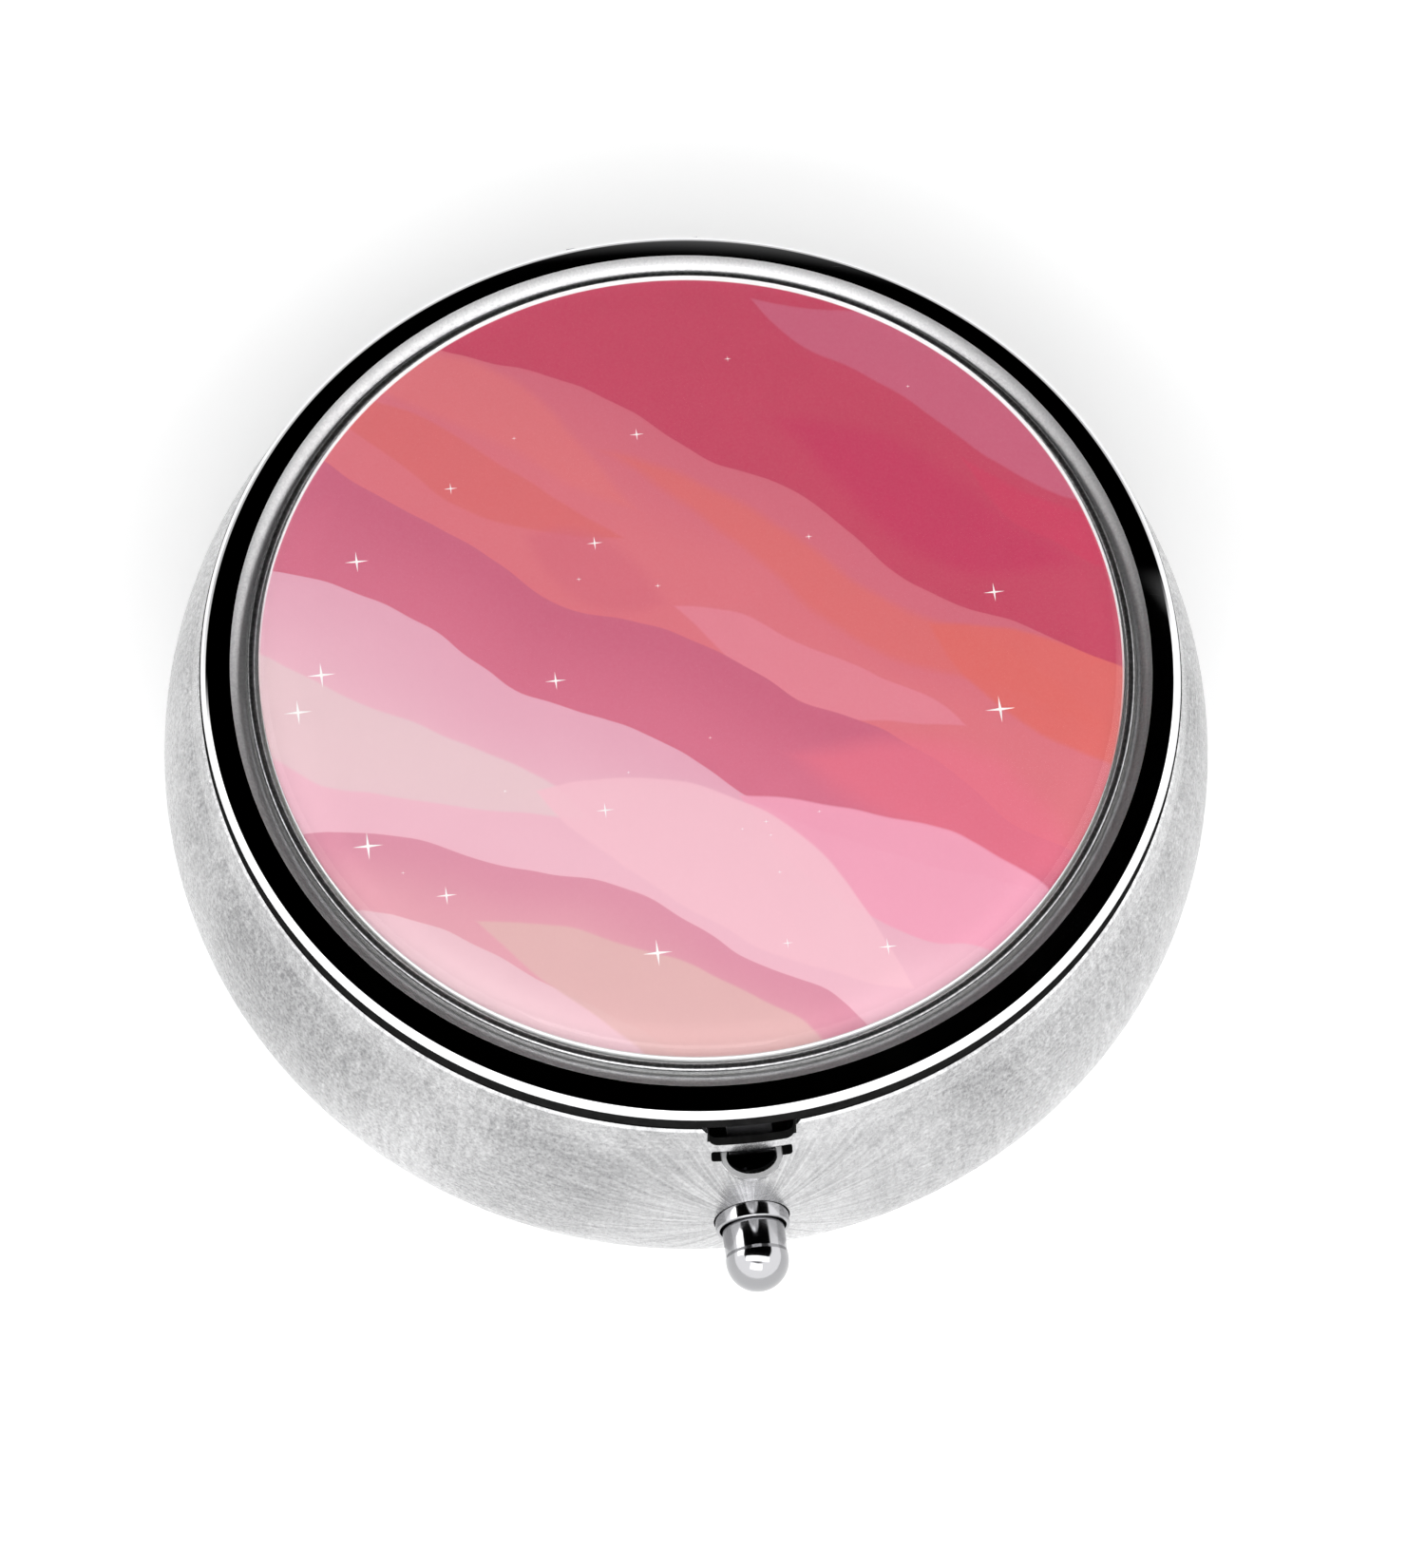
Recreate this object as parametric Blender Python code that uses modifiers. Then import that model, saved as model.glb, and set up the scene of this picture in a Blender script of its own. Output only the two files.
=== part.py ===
"""Round pocket pill case with a push-button lid: a drawn steel cup, a pressed lid with a printed
disc under a clear dome, a three-compartment tray, a rear pin hinge and a spring-tongue latch.

Frame: metres, +Z up, origin at the centre of the cup's underside. The push button points to -Y
and the hinge is at +Y. Run with: blender --background --python part.py
"""

import math

import bmesh
import bpy
from mathutils import Matrix, Vector

MM = 0.001

# ---- Cup (the drawn lower shell) ----
CASE_RADIUS = 25.0 * MM  # widest point of the bulged wall
BULGE_HEIGHT = 6.0 * MM  # height of that widest point
FOOT_SETBACK = 4.5 * MM  # flat underside ends this far inside the widest radius
CREASE_SETBACK = 1.5 * MM  # the wall's crease below the neck
NECK_SETBACK = 1.85 * MM  # top of the neck, at the seam with the lid
SEAM_HEIGHT = 14.5 * MM  # ledge that the lid closes onto
NECK_HEIGHT = 1.6 * MM  # from the crease to the ledge
SHOULDER_FULLNESS = 1.16  # vertical semi-axis of the upper bulge, per height to the crease
WALL = 0.4 * MM  # cup sheet
LIP_HEIGHT = 0.6 * MM  # inner lip that stands up inside the lid's skirt
LIP_CLEARANCE = 0.25 * MM  # lip to skirt

# ---- Lid (the pressed ring and recess) ----
LID_RADIUS = CASE_RADIUS - 2.0 * MM
LID_SHEET = 0.35 * MM
SEAM_GAP = 0.15 * MM
SKIRT_HEIGHT = 0.45 * MM  # straight part below the rounded shoulder
SHOULDER_RADIUS = 0.7 * MM
BAND_DROP = 0.4 * MM  # how far the sloping band falls from its crest to the shoulder
BAND_WIDTH = 2.2 * MM  # recess edge to the lid's outer radius
CREST_RADIUS = 0.15 * MM  # rounding of the band's inner edge

# ---- What lies in the lid's recess ----
FILM_THICKNESS = 0.15 * MM
PRINT_THICKNESS = 0.55 * MM
DOME_THICKNESS = 0.85 * MM
DOME_EDGE_HEIGHT = 0.25 * MM  # straight edge below the dome's rounded border
DOME_BORDER = 1.3 * MM  # width of the rounded border
RECESS_CLEARANCE = 0.05 * MM  # between the layers and round the retaining ring
RING_WIDTH = 0.4 * MM
RING_HEIGHT = 0.4 * MM
PRINT_GAP = 0.15 * MM  # groove between the printed disc and the retaining ring

# ---- Push button ----
BUTTON_HEIGHT = 7.75 * MM  # axis above the table
BUTTON_RADIUS = 1.45 * MM
BUTTON_REACH = 3.4 * MM  # tip beyond the widest radius
BUTTON_TRAVEL = 1.7 * MM
DOME_SHOULDER = 0.03 * MM  # small step between barrel and rounded tip
DOME_SKIRT = 0.12 * MM  # straight part behind the rounded tip
DOME_TAPER = 0.18 * MM  # from there down to the barrel
SHANK_RADIUS = 0.85 * MM
PEEN_RADIUS = 1.1 * MM
PEEN_LENGTH = 0.3 * MM
SHANK_TAPER = 0.1 * MM  # length of the shank's tapered end
SHANK_END_RADIUS = 0.38 * MM
BARREL_GAP = 0.1 * MM  # barrel's inner end past the ferrule's flange
RUNNING_CLEARANCE = 0.1 * MM
FERRULE_WALL = 0.17 * MM
FERRULE_REACH = 0.35 * MM  # ferrule's outer end beyond the widest radius
FERRULE_FLANGE = 0.4 * MM  # flange beyond the ferrule's tube
FLANGE_THICKNESS = 0.3 * MM
FLANGE_INSET = 0.2 * MM  # flange inside the wall above it
FERRULE_EDGE = 0.06 * MM  # chamfer of the ferrule's outer end
RETAINER_THICKNESS = 0.3 * MM
RETAINER_OVERLAP = 0.35 * MM  # retainer beyond the ferrule's bore
HOLE_CLEARANCE = 0.06 * MM
HOLE_DEPTH = 6.0 * MM  # of the cutter, centred on the widest radius

# ---- Latch ----
TONGUE_WIDTH = 3.4 * MM
TONGUE_SHEET = 0.3 * MM
TONGUE_INSET = 0.45 * MM  # tongue's outer face inside the skirt's inner face
TONGUE_TAIL = 0.85 * MM  # tongue below the button's axis
TONGUE_END_GAP = 0.2 * MM  # button's inner end to the tongue at rest
TONGUE_HEAD_GAP = 0.12 * MM
NOTCH_CLEARANCE = 0.25 * MM  # each side of the tongue in the cup's notch
NOTCH_DEPTH = 1.1 * MM  # below the ledge
NOTCH_CORNER = 0.55 * MM
BRIDGE_HEIGHT = 0.5 * MM  # metal left between notch and slot
SLOT_HEIGHT = 0.5 * MM
SLOT_WIDTH = 3.75 * MM
HOOD_HALF_WIDTH = 1.42 * MM
HOOD_REACH = 0.95 * MM  # hood beyond the wall at the slot
HOOD_DROP = 1.45 * MM
HOOD_SHEET = 0.24 * MM
HOOD_JOIN = 0.02 * MM  # the hood's solid rises this far past the slot's base, so that the slot trims it
NOSE_WIDTH = 2.1 * MM
NOSE_PLAY = 0.1 * MM  # nose below the bridge
NOSE_BITE = 0.42 * MM  # nose beyond the bridge's inner face
NOSE_EDGE = 0.25 * MM  # height of the nose's flat tip
NOSE_SLOPE = 0.8 * MM  # from the tip down to the blade
TONGUE_CORNER = 0.765 * MM

# ---- Hinge ----
PIN_RADIUS = 0.4 * MM
PIN_CLEARANCE = 0.06 * MM
KNUCKLE_WALL = 0.24 * MM
HINGE_SHEET = 0.24 * MM
HINGE_WIDTH = 6.4 * MM
MIDDLE_KNUCKLE = 3.2 * MM
KNUCKLE_GAP = 0.15 * MM
HINGE_DROP = 0.4 * MM  # knuckles below the lid's edge
HINGE_LEAF_LENGTH = 2.2 * MM
HINGE_NOTCH_CLEARANCE = 0.2 * MM
FLANGE_WIDTH = 5.6 * MM
FLANGE_RISE = 0.55 * MM  # flange's top above the lid's edge
FLANGE_GAP = 0.15 * MM  # to the lid's recess wall
FLANGE_STEP = 0.01 * MM  # flange a little lower than the arm's end, so that no faces coincide
PIN_OVERHANG = 0.08 * MM

# ---- Compartment tray ----
TRAY_CLEARANCE = 0.7 * MM  # to the cup's lip
TRAY_WALL = 0.8 * MM
TRAY_FLOOR = 0.8 * MM
TRAY_FLOOR_GAP = 0.12 * MM
TRAY_TOP_GAP = 0.8 * MM  # tray's rim below the ledge
TRAY_HUB_RADIUS = 2.2 * MM
TRAY_TONGUE_GAP = 0.35 * MM  # to the tongue when the button is pressed home
TRAY_CHAMFER = 0.9 * MM
COMPARTMENTS = 3

BIG_STEPS = 60
SMALL_STEPS = 24
HALF_FACET = math.pi / BIG_STEPS  # turns the cup so that a facet faces the button
ARC_POINTS = 5
CREST_POINTS = 4
SHOULDER_POINTS = 6
DOME_POINTS = 6
KNUCKLE_POINTS = 16
TIP_POINTS = 8
SECTOR_POINTS = 20
MERGE = 0.00001
CUT_MARGIN = 1.0 * MM  # cutters reach this far past what they cut

# ---- Derived places ----
CREASE_HEIGHT = SEAM_HEIGHT - NECK_HEIGHT
CREASE_RADIUS = CASE_RADIUS - CREASE_SETBACK
NECK_RADIUS = CASE_RADIUS - NECK_SETBACK
SKIRT_INNER = LID_RADIUS - LID_SHEET
LIP_OUTER = SKIRT_INNER - LIP_CLEARANCE
LIP_INNER = LIP_OUTER - WALL
LID_EDGE_HEIGHT = SEAM_HEIGHT + SEAM_GAP
SHOULDER_HEIGHT = LID_EDGE_HEIGHT + SKIRT_HEIGHT
CREST_HEIGHT = SHOULDER_HEIGHT + SHOULDER_RADIUS + BAND_DROP
RECESS_RADIUS = LID_RADIUS - BAND_WIDTH
RING_OUTER = RECESS_RADIUS - RECESS_CLEARANCE
RING_INNER = RING_OUTER - RING_WIDTH
PRINT_RADIUS = RING_INNER - PRINT_GAP
RECESS_FLOOR = CREST_HEIGHT - 3 * RECESS_CLEARANCE - FILM_THICKNESS - PRINT_THICKNESS
FILM_BASE = RECESS_FLOOR + RECESS_CLEARANCE
PRINT_BASE = FILM_BASE + FILM_THICKNESS + RECESS_CLEARANCE
DOME_BASE = PRINT_BASE + PRINT_THICKNESS + RECESS_CLEARANCE
CHANNEL_INNER = RECESS_RADIUS + LID_SHEET

BUTTON_TIP = -(CASE_RADIUS + BUTTON_REACH)
FERRULE_BORE = BUTTON_RADIUS + RUNNING_CLEARANCE
FERRULE_RADIUS = FERRULE_BORE + FERRULE_WALL
FERRULE_END = -(CASE_RADIUS + FERRULE_REACH)

NOTCH_FLOOR = SEAM_HEIGHT - NOTCH_DEPTH
SLOT_TOP = NOTCH_FLOOR - BRIDGE_HEIGHT
SLOT_BASE = SLOT_TOP - SLOT_HEIGHT
TONGUE_FACE = -(SKIRT_INNER - TONGUE_INSET)
TONGUE_BACK = TONGUE_FACE + TONGUE_SHEET
TONGUE_END = BUTTON_HEIGHT - TONGUE_TAIL

KNUCKLE_BORE = PIN_RADIUS + PIN_CLEARANCE
KNUCKLE_RADIUS = KNUCKLE_BORE + KNUCKLE_WALL
HINGE_Y = LID_RADIUS
HINGE_Z = LID_EDGE_HEIGHT - HINGE_DROP - KNUCKLE_RADIUS
HINGE_NOTCH_FLOOR = HINGE_Z - KNUCKLE_RADIUS - HINGE_NOTCH_CLEARANCE


# ---------------------------------------------------------------- profiles
def bulge_radius(height):
    """Outer radius of the cup's wall at a height between the foot and the ledge."""
    if height > CREASE_HEIGHT:
        share = (height - CREASE_HEIGHT) / NECK_HEIGHT
        return CREASE_RADIUS + (NECK_RADIUS - CREASE_RADIUS) * share
    if height >= BULGE_HEIGHT:
        half = SHOULDER_FULLNESS * (CREASE_HEIGHT - BULGE_HEIGHT)
        depth = CREASE_SETBACK / (1 - math.sqrt(1 - 1 / SHOULDER_FULLNESS**2))
        return CASE_RADIUS - depth * (1 - math.sqrt(1 - ((height - BULGE_HEIGHT) / half) ** 2))
    share = (BULGE_HEIGHT - height) / BULGE_HEIGHT
    return CASE_RADIUS - FOOT_SETBACK * (1 - math.sqrt(max(0.0, 1 - share**2)))


def cup_outline():
    """Outer wall from the neck down to the flat foot, as (radius, height) points."""
    points = [(NECK_RADIUS, SEAM_HEIGHT)]
    for i in range(ARC_POINTS + 1):
        height = CREASE_HEIGHT + (BULGE_HEIGHT - CREASE_HEIGHT) * i / ARC_POINTS
        points.append((bulge_radius(height), height))
    for i in range(1, ARC_POINTS + 1):
        turn = math.pi / 2 * i / ARC_POINTS
        radius = CASE_RADIUS - FOOT_SETBACK * (1 - math.cos(turn))
        points.append((radius, BULGE_HEIGHT * (1 - math.sin(turn))))
    return points


def arc(centre, radius, start, end, count):
    """Points on an arc, angles in degrees, both ends included."""
    found = []
    for i in range(count + 1):
        turn = math.radians(start + (end - start) * i / count)
        found.append((centre[0] + radius * math.cos(turn), centre[1] + radius * math.sin(turn)))
    return found


def offset(points, distance):
    """An open profile moved sideways, to the right of its direction."""
    moved = []
    for i, point in enumerate(points):
        normals = []
        for a, b in ((i - 1, i), (i, i + 1)):
            if a < 0 or b >= len(points):
                continue
            run = Vector(points[b]) - Vector(points[a])
            normals.append(Vector((run.y, -run.x)).normalized())
        if len(normals) == 1:
            side = normals[0]
        else:
            total = normals[0] + normals[1]
            side = total / (1 + normals[0].dot(normals[1]))
        moved.append((point[0] + side.x * distance, point[1] + side.y * distance))
    return moved


def lid_top_outline():
    """Top of the lid's sheet from its axis, out over the band and down the skirt."""
    slope = math.degrees(math.atan2(BAND_DROP, BAND_WIDTH - SHOULDER_RADIUS - CREST_RADIUS))
    crest = (RECESS_RADIUS + CREST_RADIUS, CREST_HEIGHT - CREST_RADIUS)
    shoulder = (LID_RADIUS - SHOULDER_RADIUS, SHOULDER_HEIGHT)
    points = [(0.0, RECESS_FLOOR), (RECESS_RADIUS, RECESS_FLOOR)]
    points += arc(crest, CREST_RADIUS, 180, 90 - slope, CREST_POINTS)
    points += arc(shoulder, SHOULDER_RADIUS, 90 - slope, 0, SHOULDER_POINTS)
    points.append((LID_RADIUS, LID_EDGE_HEIGHT))
    return points


# ---------------------------------------------------------------- Blender helpers
def clear_scene():
    for obj in list(bpy.data.objects):
        bpy.data.objects.remove(obj, do_unlink=True)


def make_collection(name):
    collection = bpy.data.collections.new(name)
    bpy.context.scene.collection.children.link(collection)
    return collection


def make_material(name, colour, roughness, metallic, alpha=1.0):
    material = bpy.data.materials.new(name)
    material.use_nodes = True
    shader = material.node_tree.nodes["Principled BSDF"]
    shader.inputs["Base Color"].default_value = (*colour, 1.0)
    shader.inputs["Roughness"].default_value = roughness
    shader.inputs["Metallic"].default_value = metallic
    shader.inputs["Alpha"].default_value = alpha
    return material


def add_object(name, mesh, collection, material=None):
    obj = bpy.data.objects.new(name, mesh)
    collection.objects.link(obj)
    if material:
        mesh.materials.append(material)
    return obj


def as_cutter(obj):
    obj.hide_render = True
    obj.display_type = "WIRE"
    return obj


def turned(name, points, collection, material=None, steps=BIG_STEPS, closed=False):
    """A turned solid: a profile of (radius, height) points under a Screw modifier."""
    mesh = bpy.data.meshes.new(name)
    edges = [(i, i + 1) for i in range(len(points) - 1)]
    if closed:
        edges.append((len(points) - 1, 0))
    mesh.from_pydata([(r, 0.0, z) for r, z in points], edges, [])
    obj = add_object(name, mesh, collection, material)
    screw = obj.modifiers.new("Turn", "SCREW")
    screw.axis = "Z"
    screw.angle = 2 * math.pi
    screw.steps = steps
    screw.render_steps = steps
    screw.use_merge_vertices = True
    screw.merge_threshold = MERGE
    screw.use_smooth_shade = True
    return obj


def outline_curve(name, loops, thickness, collection):
    """A flat 2D curve filled on both sides and extruded through its thickness."""
    curve = bpy.data.curves.new(name, "CURVE")
    curve.dimensions = "2D"
    curve.fill_mode = "BOTH"
    curve.extrude = thickness / 2
    for loop in loops:
        spline = curve.splines.new("POLY")
        spline.points.add(len(loop) - 1)
        for point, (x, y) in zip(spline.points, loop):
            point.co = (x, y, 0.0, 1.0)
        spline.use_cyclic_u = True
    obj = bpy.data.objects.new(name, curve)
    collection.objects.link(obj)
    return obj


def plate(name, loops, thickness, collection, matrix, material=None):
    """An extruded outline made a closed mesh and put in place by matrix."""
    guide = outline_curve(name + ".outline", loops, thickness, collection)
    bpy.context.view_layer.update()
    graph = bpy.context.evaluated_depsgraph_get()
    mesh = bpy.data.meshes.new_from_object(guide.evaluated_get(graph))
    bpy.data.objects.remove(guide, do_unlink=True)
    shape = bmesh.new()
    shape.from_mesh(mesh)
    bmesh.ops.remove_doubles(shape, verts=shape.verts, dist=MERGE)
    bmesh.ops.recalc_face_normals(shape, faces=shape.faces)
    shape.to_mesh(mesh)
    shape.free()
    mesh.name = name
    mesh.materials.clear()
    obj = add_object(name, mesh, collection, material)
    obj.matrix_world = matrix
    return obj


def box(name, low, high, collection, material=None):
    """A box between two corners."""
    low, high = Vector(low), Vector(high)
    mesh = bpy.data.meshes.new(name)
    shape = bmesh.new()
    bmesh.ops.create_cube(shape, size=1.0)
    bmesh.ops.scale(shape, vec=high - low, verts=shape.verts)
    shape.to_mesh(mesh)
    shape.free()
    obj = add_object(name, mesh, collection, material)
    obj.location = (low + high) / 2
    return obj


def rod(name, radius, length, collection, material=None, steps=SMALL_STEPS):
    """A cylinder along local Z, centred on its origin."""
    mesh = bpy.data.meshes.new(name)
    shape = bmesh.new()
    bmesh.ops.create_cone(
        shape, cap_ends=True, segments=steps, radius1=radius, radius2=radius, depth=length
    )
    shape.to_mesh(mesh)
    shape.free()
    return add_object(name, mesh, collection, material)


def half_ellipsoid(name, radii, centre, top, collection):
    """The part of an ellipsoid below a height, closed across the cut."""
    mesh = bpy.data.meshes.new(name)
    shape = bmesh.new()
    bmesh.ops.create_uvsphere(shape, u_segments=24, v_segments=14, radius=1.0)
    bmesh.ops.scale(shape, vec=Vector(radii), verts=shape.verts)
    bmesh.ops.translate(shape, vec=Vector(centre), verts=shape.verts)
    everything = shape.verts[:] + shape.edges[:] + shape.faces[:]
    bmesh.ops.bisect_plane(
        shape, geom=everything, plane_co=(0, 0, top), plane_no=(0, 0, 1), clear_outer=True
    )
    rim = [edge for edge in shape.edges if edge.is_boundary]
    bmesh.ops.holes_fill(shape, edges=rim, sides=0)
    bmesh.ops.recalc_face_normals(shape, faces=shape.faces)
    shape.to_mesh(mesh)
    shape.free()
    return add_object(name, mesh, collection)


def combine(obj, other, operation):
    """Adds a Boolean modifier. The other object becomes a cutter or a helper that isn't rendered."""
    as_cutter(other)
    modifier = obj.modifiers.new(other.name, "BOOLEAN")
    modifier.operation = operation
    modifier.object = other
    modifier.solver = "EXACT"


def smooth(obj, angle=30.0):
    obj.data.shade_smooth()
    obj.data.set_sharp_from_angle(angle=math.radians(angle))


# Outlines drawn in (Y, Z) and extruded along X, or in (X, Z) and extruded along Y.
SIDE_VIEW = Matrix(((0, 0, 1, 0), (1, 0, 0, 0), (0, 1, 0, 0), (0, 0, 0, 1)))
FRONT_VIEW = Matrix(((1, 0, 0, 0), (0, 0, -1, 0), (0, 1, 0, 0), (0, 0, 0, 1)))


# ---------------------------------------------------------------- the cup
def make_cup(parts, cutters, steel):
    wall = cup_outline()
    solid = [(0.0, SEAM_HEIGHT + LIP_HEIGHT), (LIP_OUTER, SEAM_HEIGHT + LIP_HEIGHT)]
    solid += [(LIP_OUTER, SEAM_HEIGHT), *wall, (0.0, 0.0)]
    cup = turned("base_cup", solid, parts, steel)
    cup.rotation_euler.z = HALF_FACET

    # The hood below the slot, pushed out of the wall.
    slot_wall = bulge_radius(SLOT_BASE)
    hood_centre = (0.0, -(slot_wall - WALL / 2), SLOT_BASE)
    hood_depth = HOOD_REACH + WALL / 2
    hood = half_ellipsoid(
        "cut_hood_outside",
        (HOOD_HALF_WIDTH, hood_depth, HOOD_DROP),
        hood_centre,
        SLOT_BASE + HOOD_JOIN,
        cutters,
    )
    combine(cup, hood, "UNION")

    # The hollow, one sheet thickness inside the outer wall.
    inner = offset(wall[1:], WALL)
    ledge = SEAM_HEIGHT - WALL
    neck_inner = bulge_radius(ledge) - WALL
    top = SEAM_HEIGHT + LIP_HEIGHT + CUT_MARGIN
    hollow = [(0.0, top), (LIP_INNER, top), (LIP_INNER, ledge), (neck_inner, ledge)]
    hollow += [*inner[:-1], (inner[-1][0], WALL), (0.0, WALL)]
    inside = turned("cut_hollow", hollow, cutters)
    inside.rotation_euler.z = HALF_FACET
    combine(cup, inside, "DIFFERENCE")

    pocket = half_ellipsoid(
        "cut_hood_inside",
        (HOOD_HALF_WIDTH - HOOD_SHEET, hood_depth - HOOD_SHEET, HOOD_DROP - HOOD_SHEET),
        hood_centre,
        SLOT_BASE + SLOT_HEIGHT / 2,
        cutters,
    )
    combine(cup, pocket, "DIFFERENCE")
    slot = box(
        "cut_slot",
        (-SLOT_WIDTH / 2, -(CASE_RADIUS + CUT_MARGIN), SLOT_BASE),
        (SLOT_WIDTH / 2, -(LIP_INNER - CUT_MARGIN), SLOT_TOP),
        cutters,
    )
    combine(cup, slot, "DIFFERENCE")

    # The rounded notch that the tongue shows through.
    half = TONGUE_WIDTH / 2 + NOTCH_CLEARANCE
    high = SEAM_HEIGHT + LIP_HEIGHT + CUT_MARGIN
    right = arc((half - NOTCH_CORNER, NOTCH_FLOOR + NOTCH_CORNER), NOTCH_CORNER, -90, 0, CREST_POINTS)
    left = [(-x, z) for x, z in reversed(right)]
    notch_depth = CASE_RADIUS - LIP_INNER + 2 * CUT_MARGIN
    notch_middle = -(CASE_RADIUS + LIP_INNER) / 2
    notch = plate(
        "cut_notch",
        [[*right, (half, high), (-half, high), *left]],
        notch_depth,
        cutters,
        Matrix.Translation((0.0, notch_middle, 0.0)) @ FRONT_VIEW,
    )
    combine(cup, notch, "DIFFERENCE")

    hole = rod("cut_button_hole", FERRULE_RADIUS + HOLE_CLEARANCE, HOLE_DEPTH, cutters)
    hole.rotation_euler.x = math.pi / 2
    hole.location = (0.0, -CASE_RADIUS, BUTTON_HEIGHT)
    combine(cup, hole, "DIFFERENCE")

    half = HINGE_WIDTH / 2 + HINGE_NOTCH_CLEARANCE
    hinge_notch = box(
        "cut_hinge_notch",
        (-half, LIP_INNER - CUT_MARGIN, HINGE_NOTCH_FLOOR),
        (half, CASE_RADIUS + CUT_MARGIN, high),
        cutters,
    )
    combine(cup, hinge_notch, "DIFFERENCE")
    smooth(cup)
    return cup


# ---------------------------------------------------------------- the lid
def make_lid(parts, chrome, film_paper, printed, clear, ring_metal):
    top = lid_top_outline()
    under = offset(top, LID_SHEET)
    under[0] = (0.0, under[0][1])
    under[-1] = (SKIRT_INNER, LID_EDGE_HEIGHT)
    lid = turned("lid_shell", [*top, *reversed(under)], parts, chrome)
    smooth(lid)

    radius = PRINT_RADIUS
    film = [(0.0, FILM_BASE + FILM_THICKNESS), (radius, FILM_BASE + FILM_THICKNESS)]
    film += [(radius, FILM_BASE), (0.0, FILM_BASE)]
    turned("adhesive_film", film, parts, film_paper)

    disc = [(0.0, PRINT_BASE + PRINT_THICKNESS), (radius, PRINT_BASE + PRINT_THICKNESS)]
    disc += [(radius, PRINT_BASE), (0.0, PRINT_BASE)]
    turned("printed_disc", disc, parts, printed)

    crown = DOME_THICKNESS - DOME_EDGE_HEIGHT
    dome = [(0.0, DOME_BASE + DOME_THICKNESS)]
    for i in range(DOME_POINTS + 1):
        turn = math.pi / 2 * i / DOME_POINTS
        across = radius - DOME_BORDER * (1 - math.sin(turn))
        dome.append((across, DOME_BASE + DOME_EDGE_HEIGHT + crown * math.cos(turn)))
    dome += [(radius, DOME_BASE), (0.0, DOME_BASE)]
    smooth(turned("crystal_dome", dome, parts, clear))

    low = CREST_HEIGHT - RING_HEIGHT
    ring = [(RING_INNER, CREST_HEIGHT), (RING_OUTER, CREST_HEIGHT), (RING_OUTER, low), (RING_INNER, low)]
    turned("retaining_ring", ring, parts, ring_metal, closed=True)


# ---------------------------------------------------------------- hinge
def knuckle_outline(rise, tip):
    """A rolled barrel with its leaf along the inner side, in (Y, Z) about the pin's axis.
    rise is +1 for a leaf that goes up and -1 for one that goes down, tip the leaf's far end."""
    inner = -KNUCKLE_RADIUS
    outer = inner + HINGE_SHEET
    meet = math.degrees(math.acos(outer / KNUCKLE_RADIUS))
    around = arc((0.0, 0.0), KNUCKLE_RADIUS, 180, -meet, KNUCKLE_POINTS)
    if rise > 0:
        around = [(y, -z) for y, z in around]
    return [(inner, tip), *around, (outer, tip)]


def bore_outline():
    return arc((0.0, 0.0), KNUCKLE_BORE, 0, 360 - 360 / KNUCKLE_POINTS, KNUCKLE_POINTS - 1)


def make_hinge(parts, cutters, steel, pin_metal):
    place = Matrix.Translation((0.0, HINGE_Y, HINGE_Z)) @ SIDE_VIEW
    low = plate(
        "base_hinge_leaf",
        [knuckle_outline(-1, -HINGE_LEAF_LENGTH), bore_outline()],
        HINGE_WIDTH,
        parts,
        place,
        steel,
    )
    half = MIDDLE_KNUCKLE / 2 + KNUCKLE_GAP
    reach = KNUCKLE_RADIUS + HINGE_NOTCH_CLEARANCE
    gap = box(
        "cut_middle_knuckle",
        (-half, HINGE_Y - reach, HINGE_Z - reach),
        (half, HINGE_Y + reach, HINGE_Z + reach),
        cutters,
    )
    combine(low, gap, "DIFFERENCE")
    smooth(low)

    flange_top = LID_EDGE_HEIGHT + FLANGE_RISE
    high = plate(
        "lid_hinge_leaf",
        [knuckle_outline(1, flange_top - HINGE_Z), bore_outline()],
        MIDDLE_KNUCKLE,
        parts,
        place,
        steel,
    )
    arm_inner = HINGE_Y - KNUCKLE_RADIUS
    flange = box(
        "join_lid_flange",
        (-FLANGE_WIDTH / 2, CHANNEL_INNER + FLANGE_GAP, flange_top - HINGE_SHEET),
        (FLANGE_WIDTH / 2, arm_inner + HINGE_SHEET / 2, flange_top - FLANGE_STEP),
        cutters,
    )
    combine(high, flange, "UNION")
    smooth(high)

    pin = rod("hinge_pin", PIN_RADIUS, HINGE_WIDTH + 2 * PIN_OVERHANG, parts, pin_metal)
    pin.rotation_euler.y = math.pi / 2
    pin.location = (0.0, HINGE_Y, HINGE_Z)
    smooth(pin)


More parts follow.
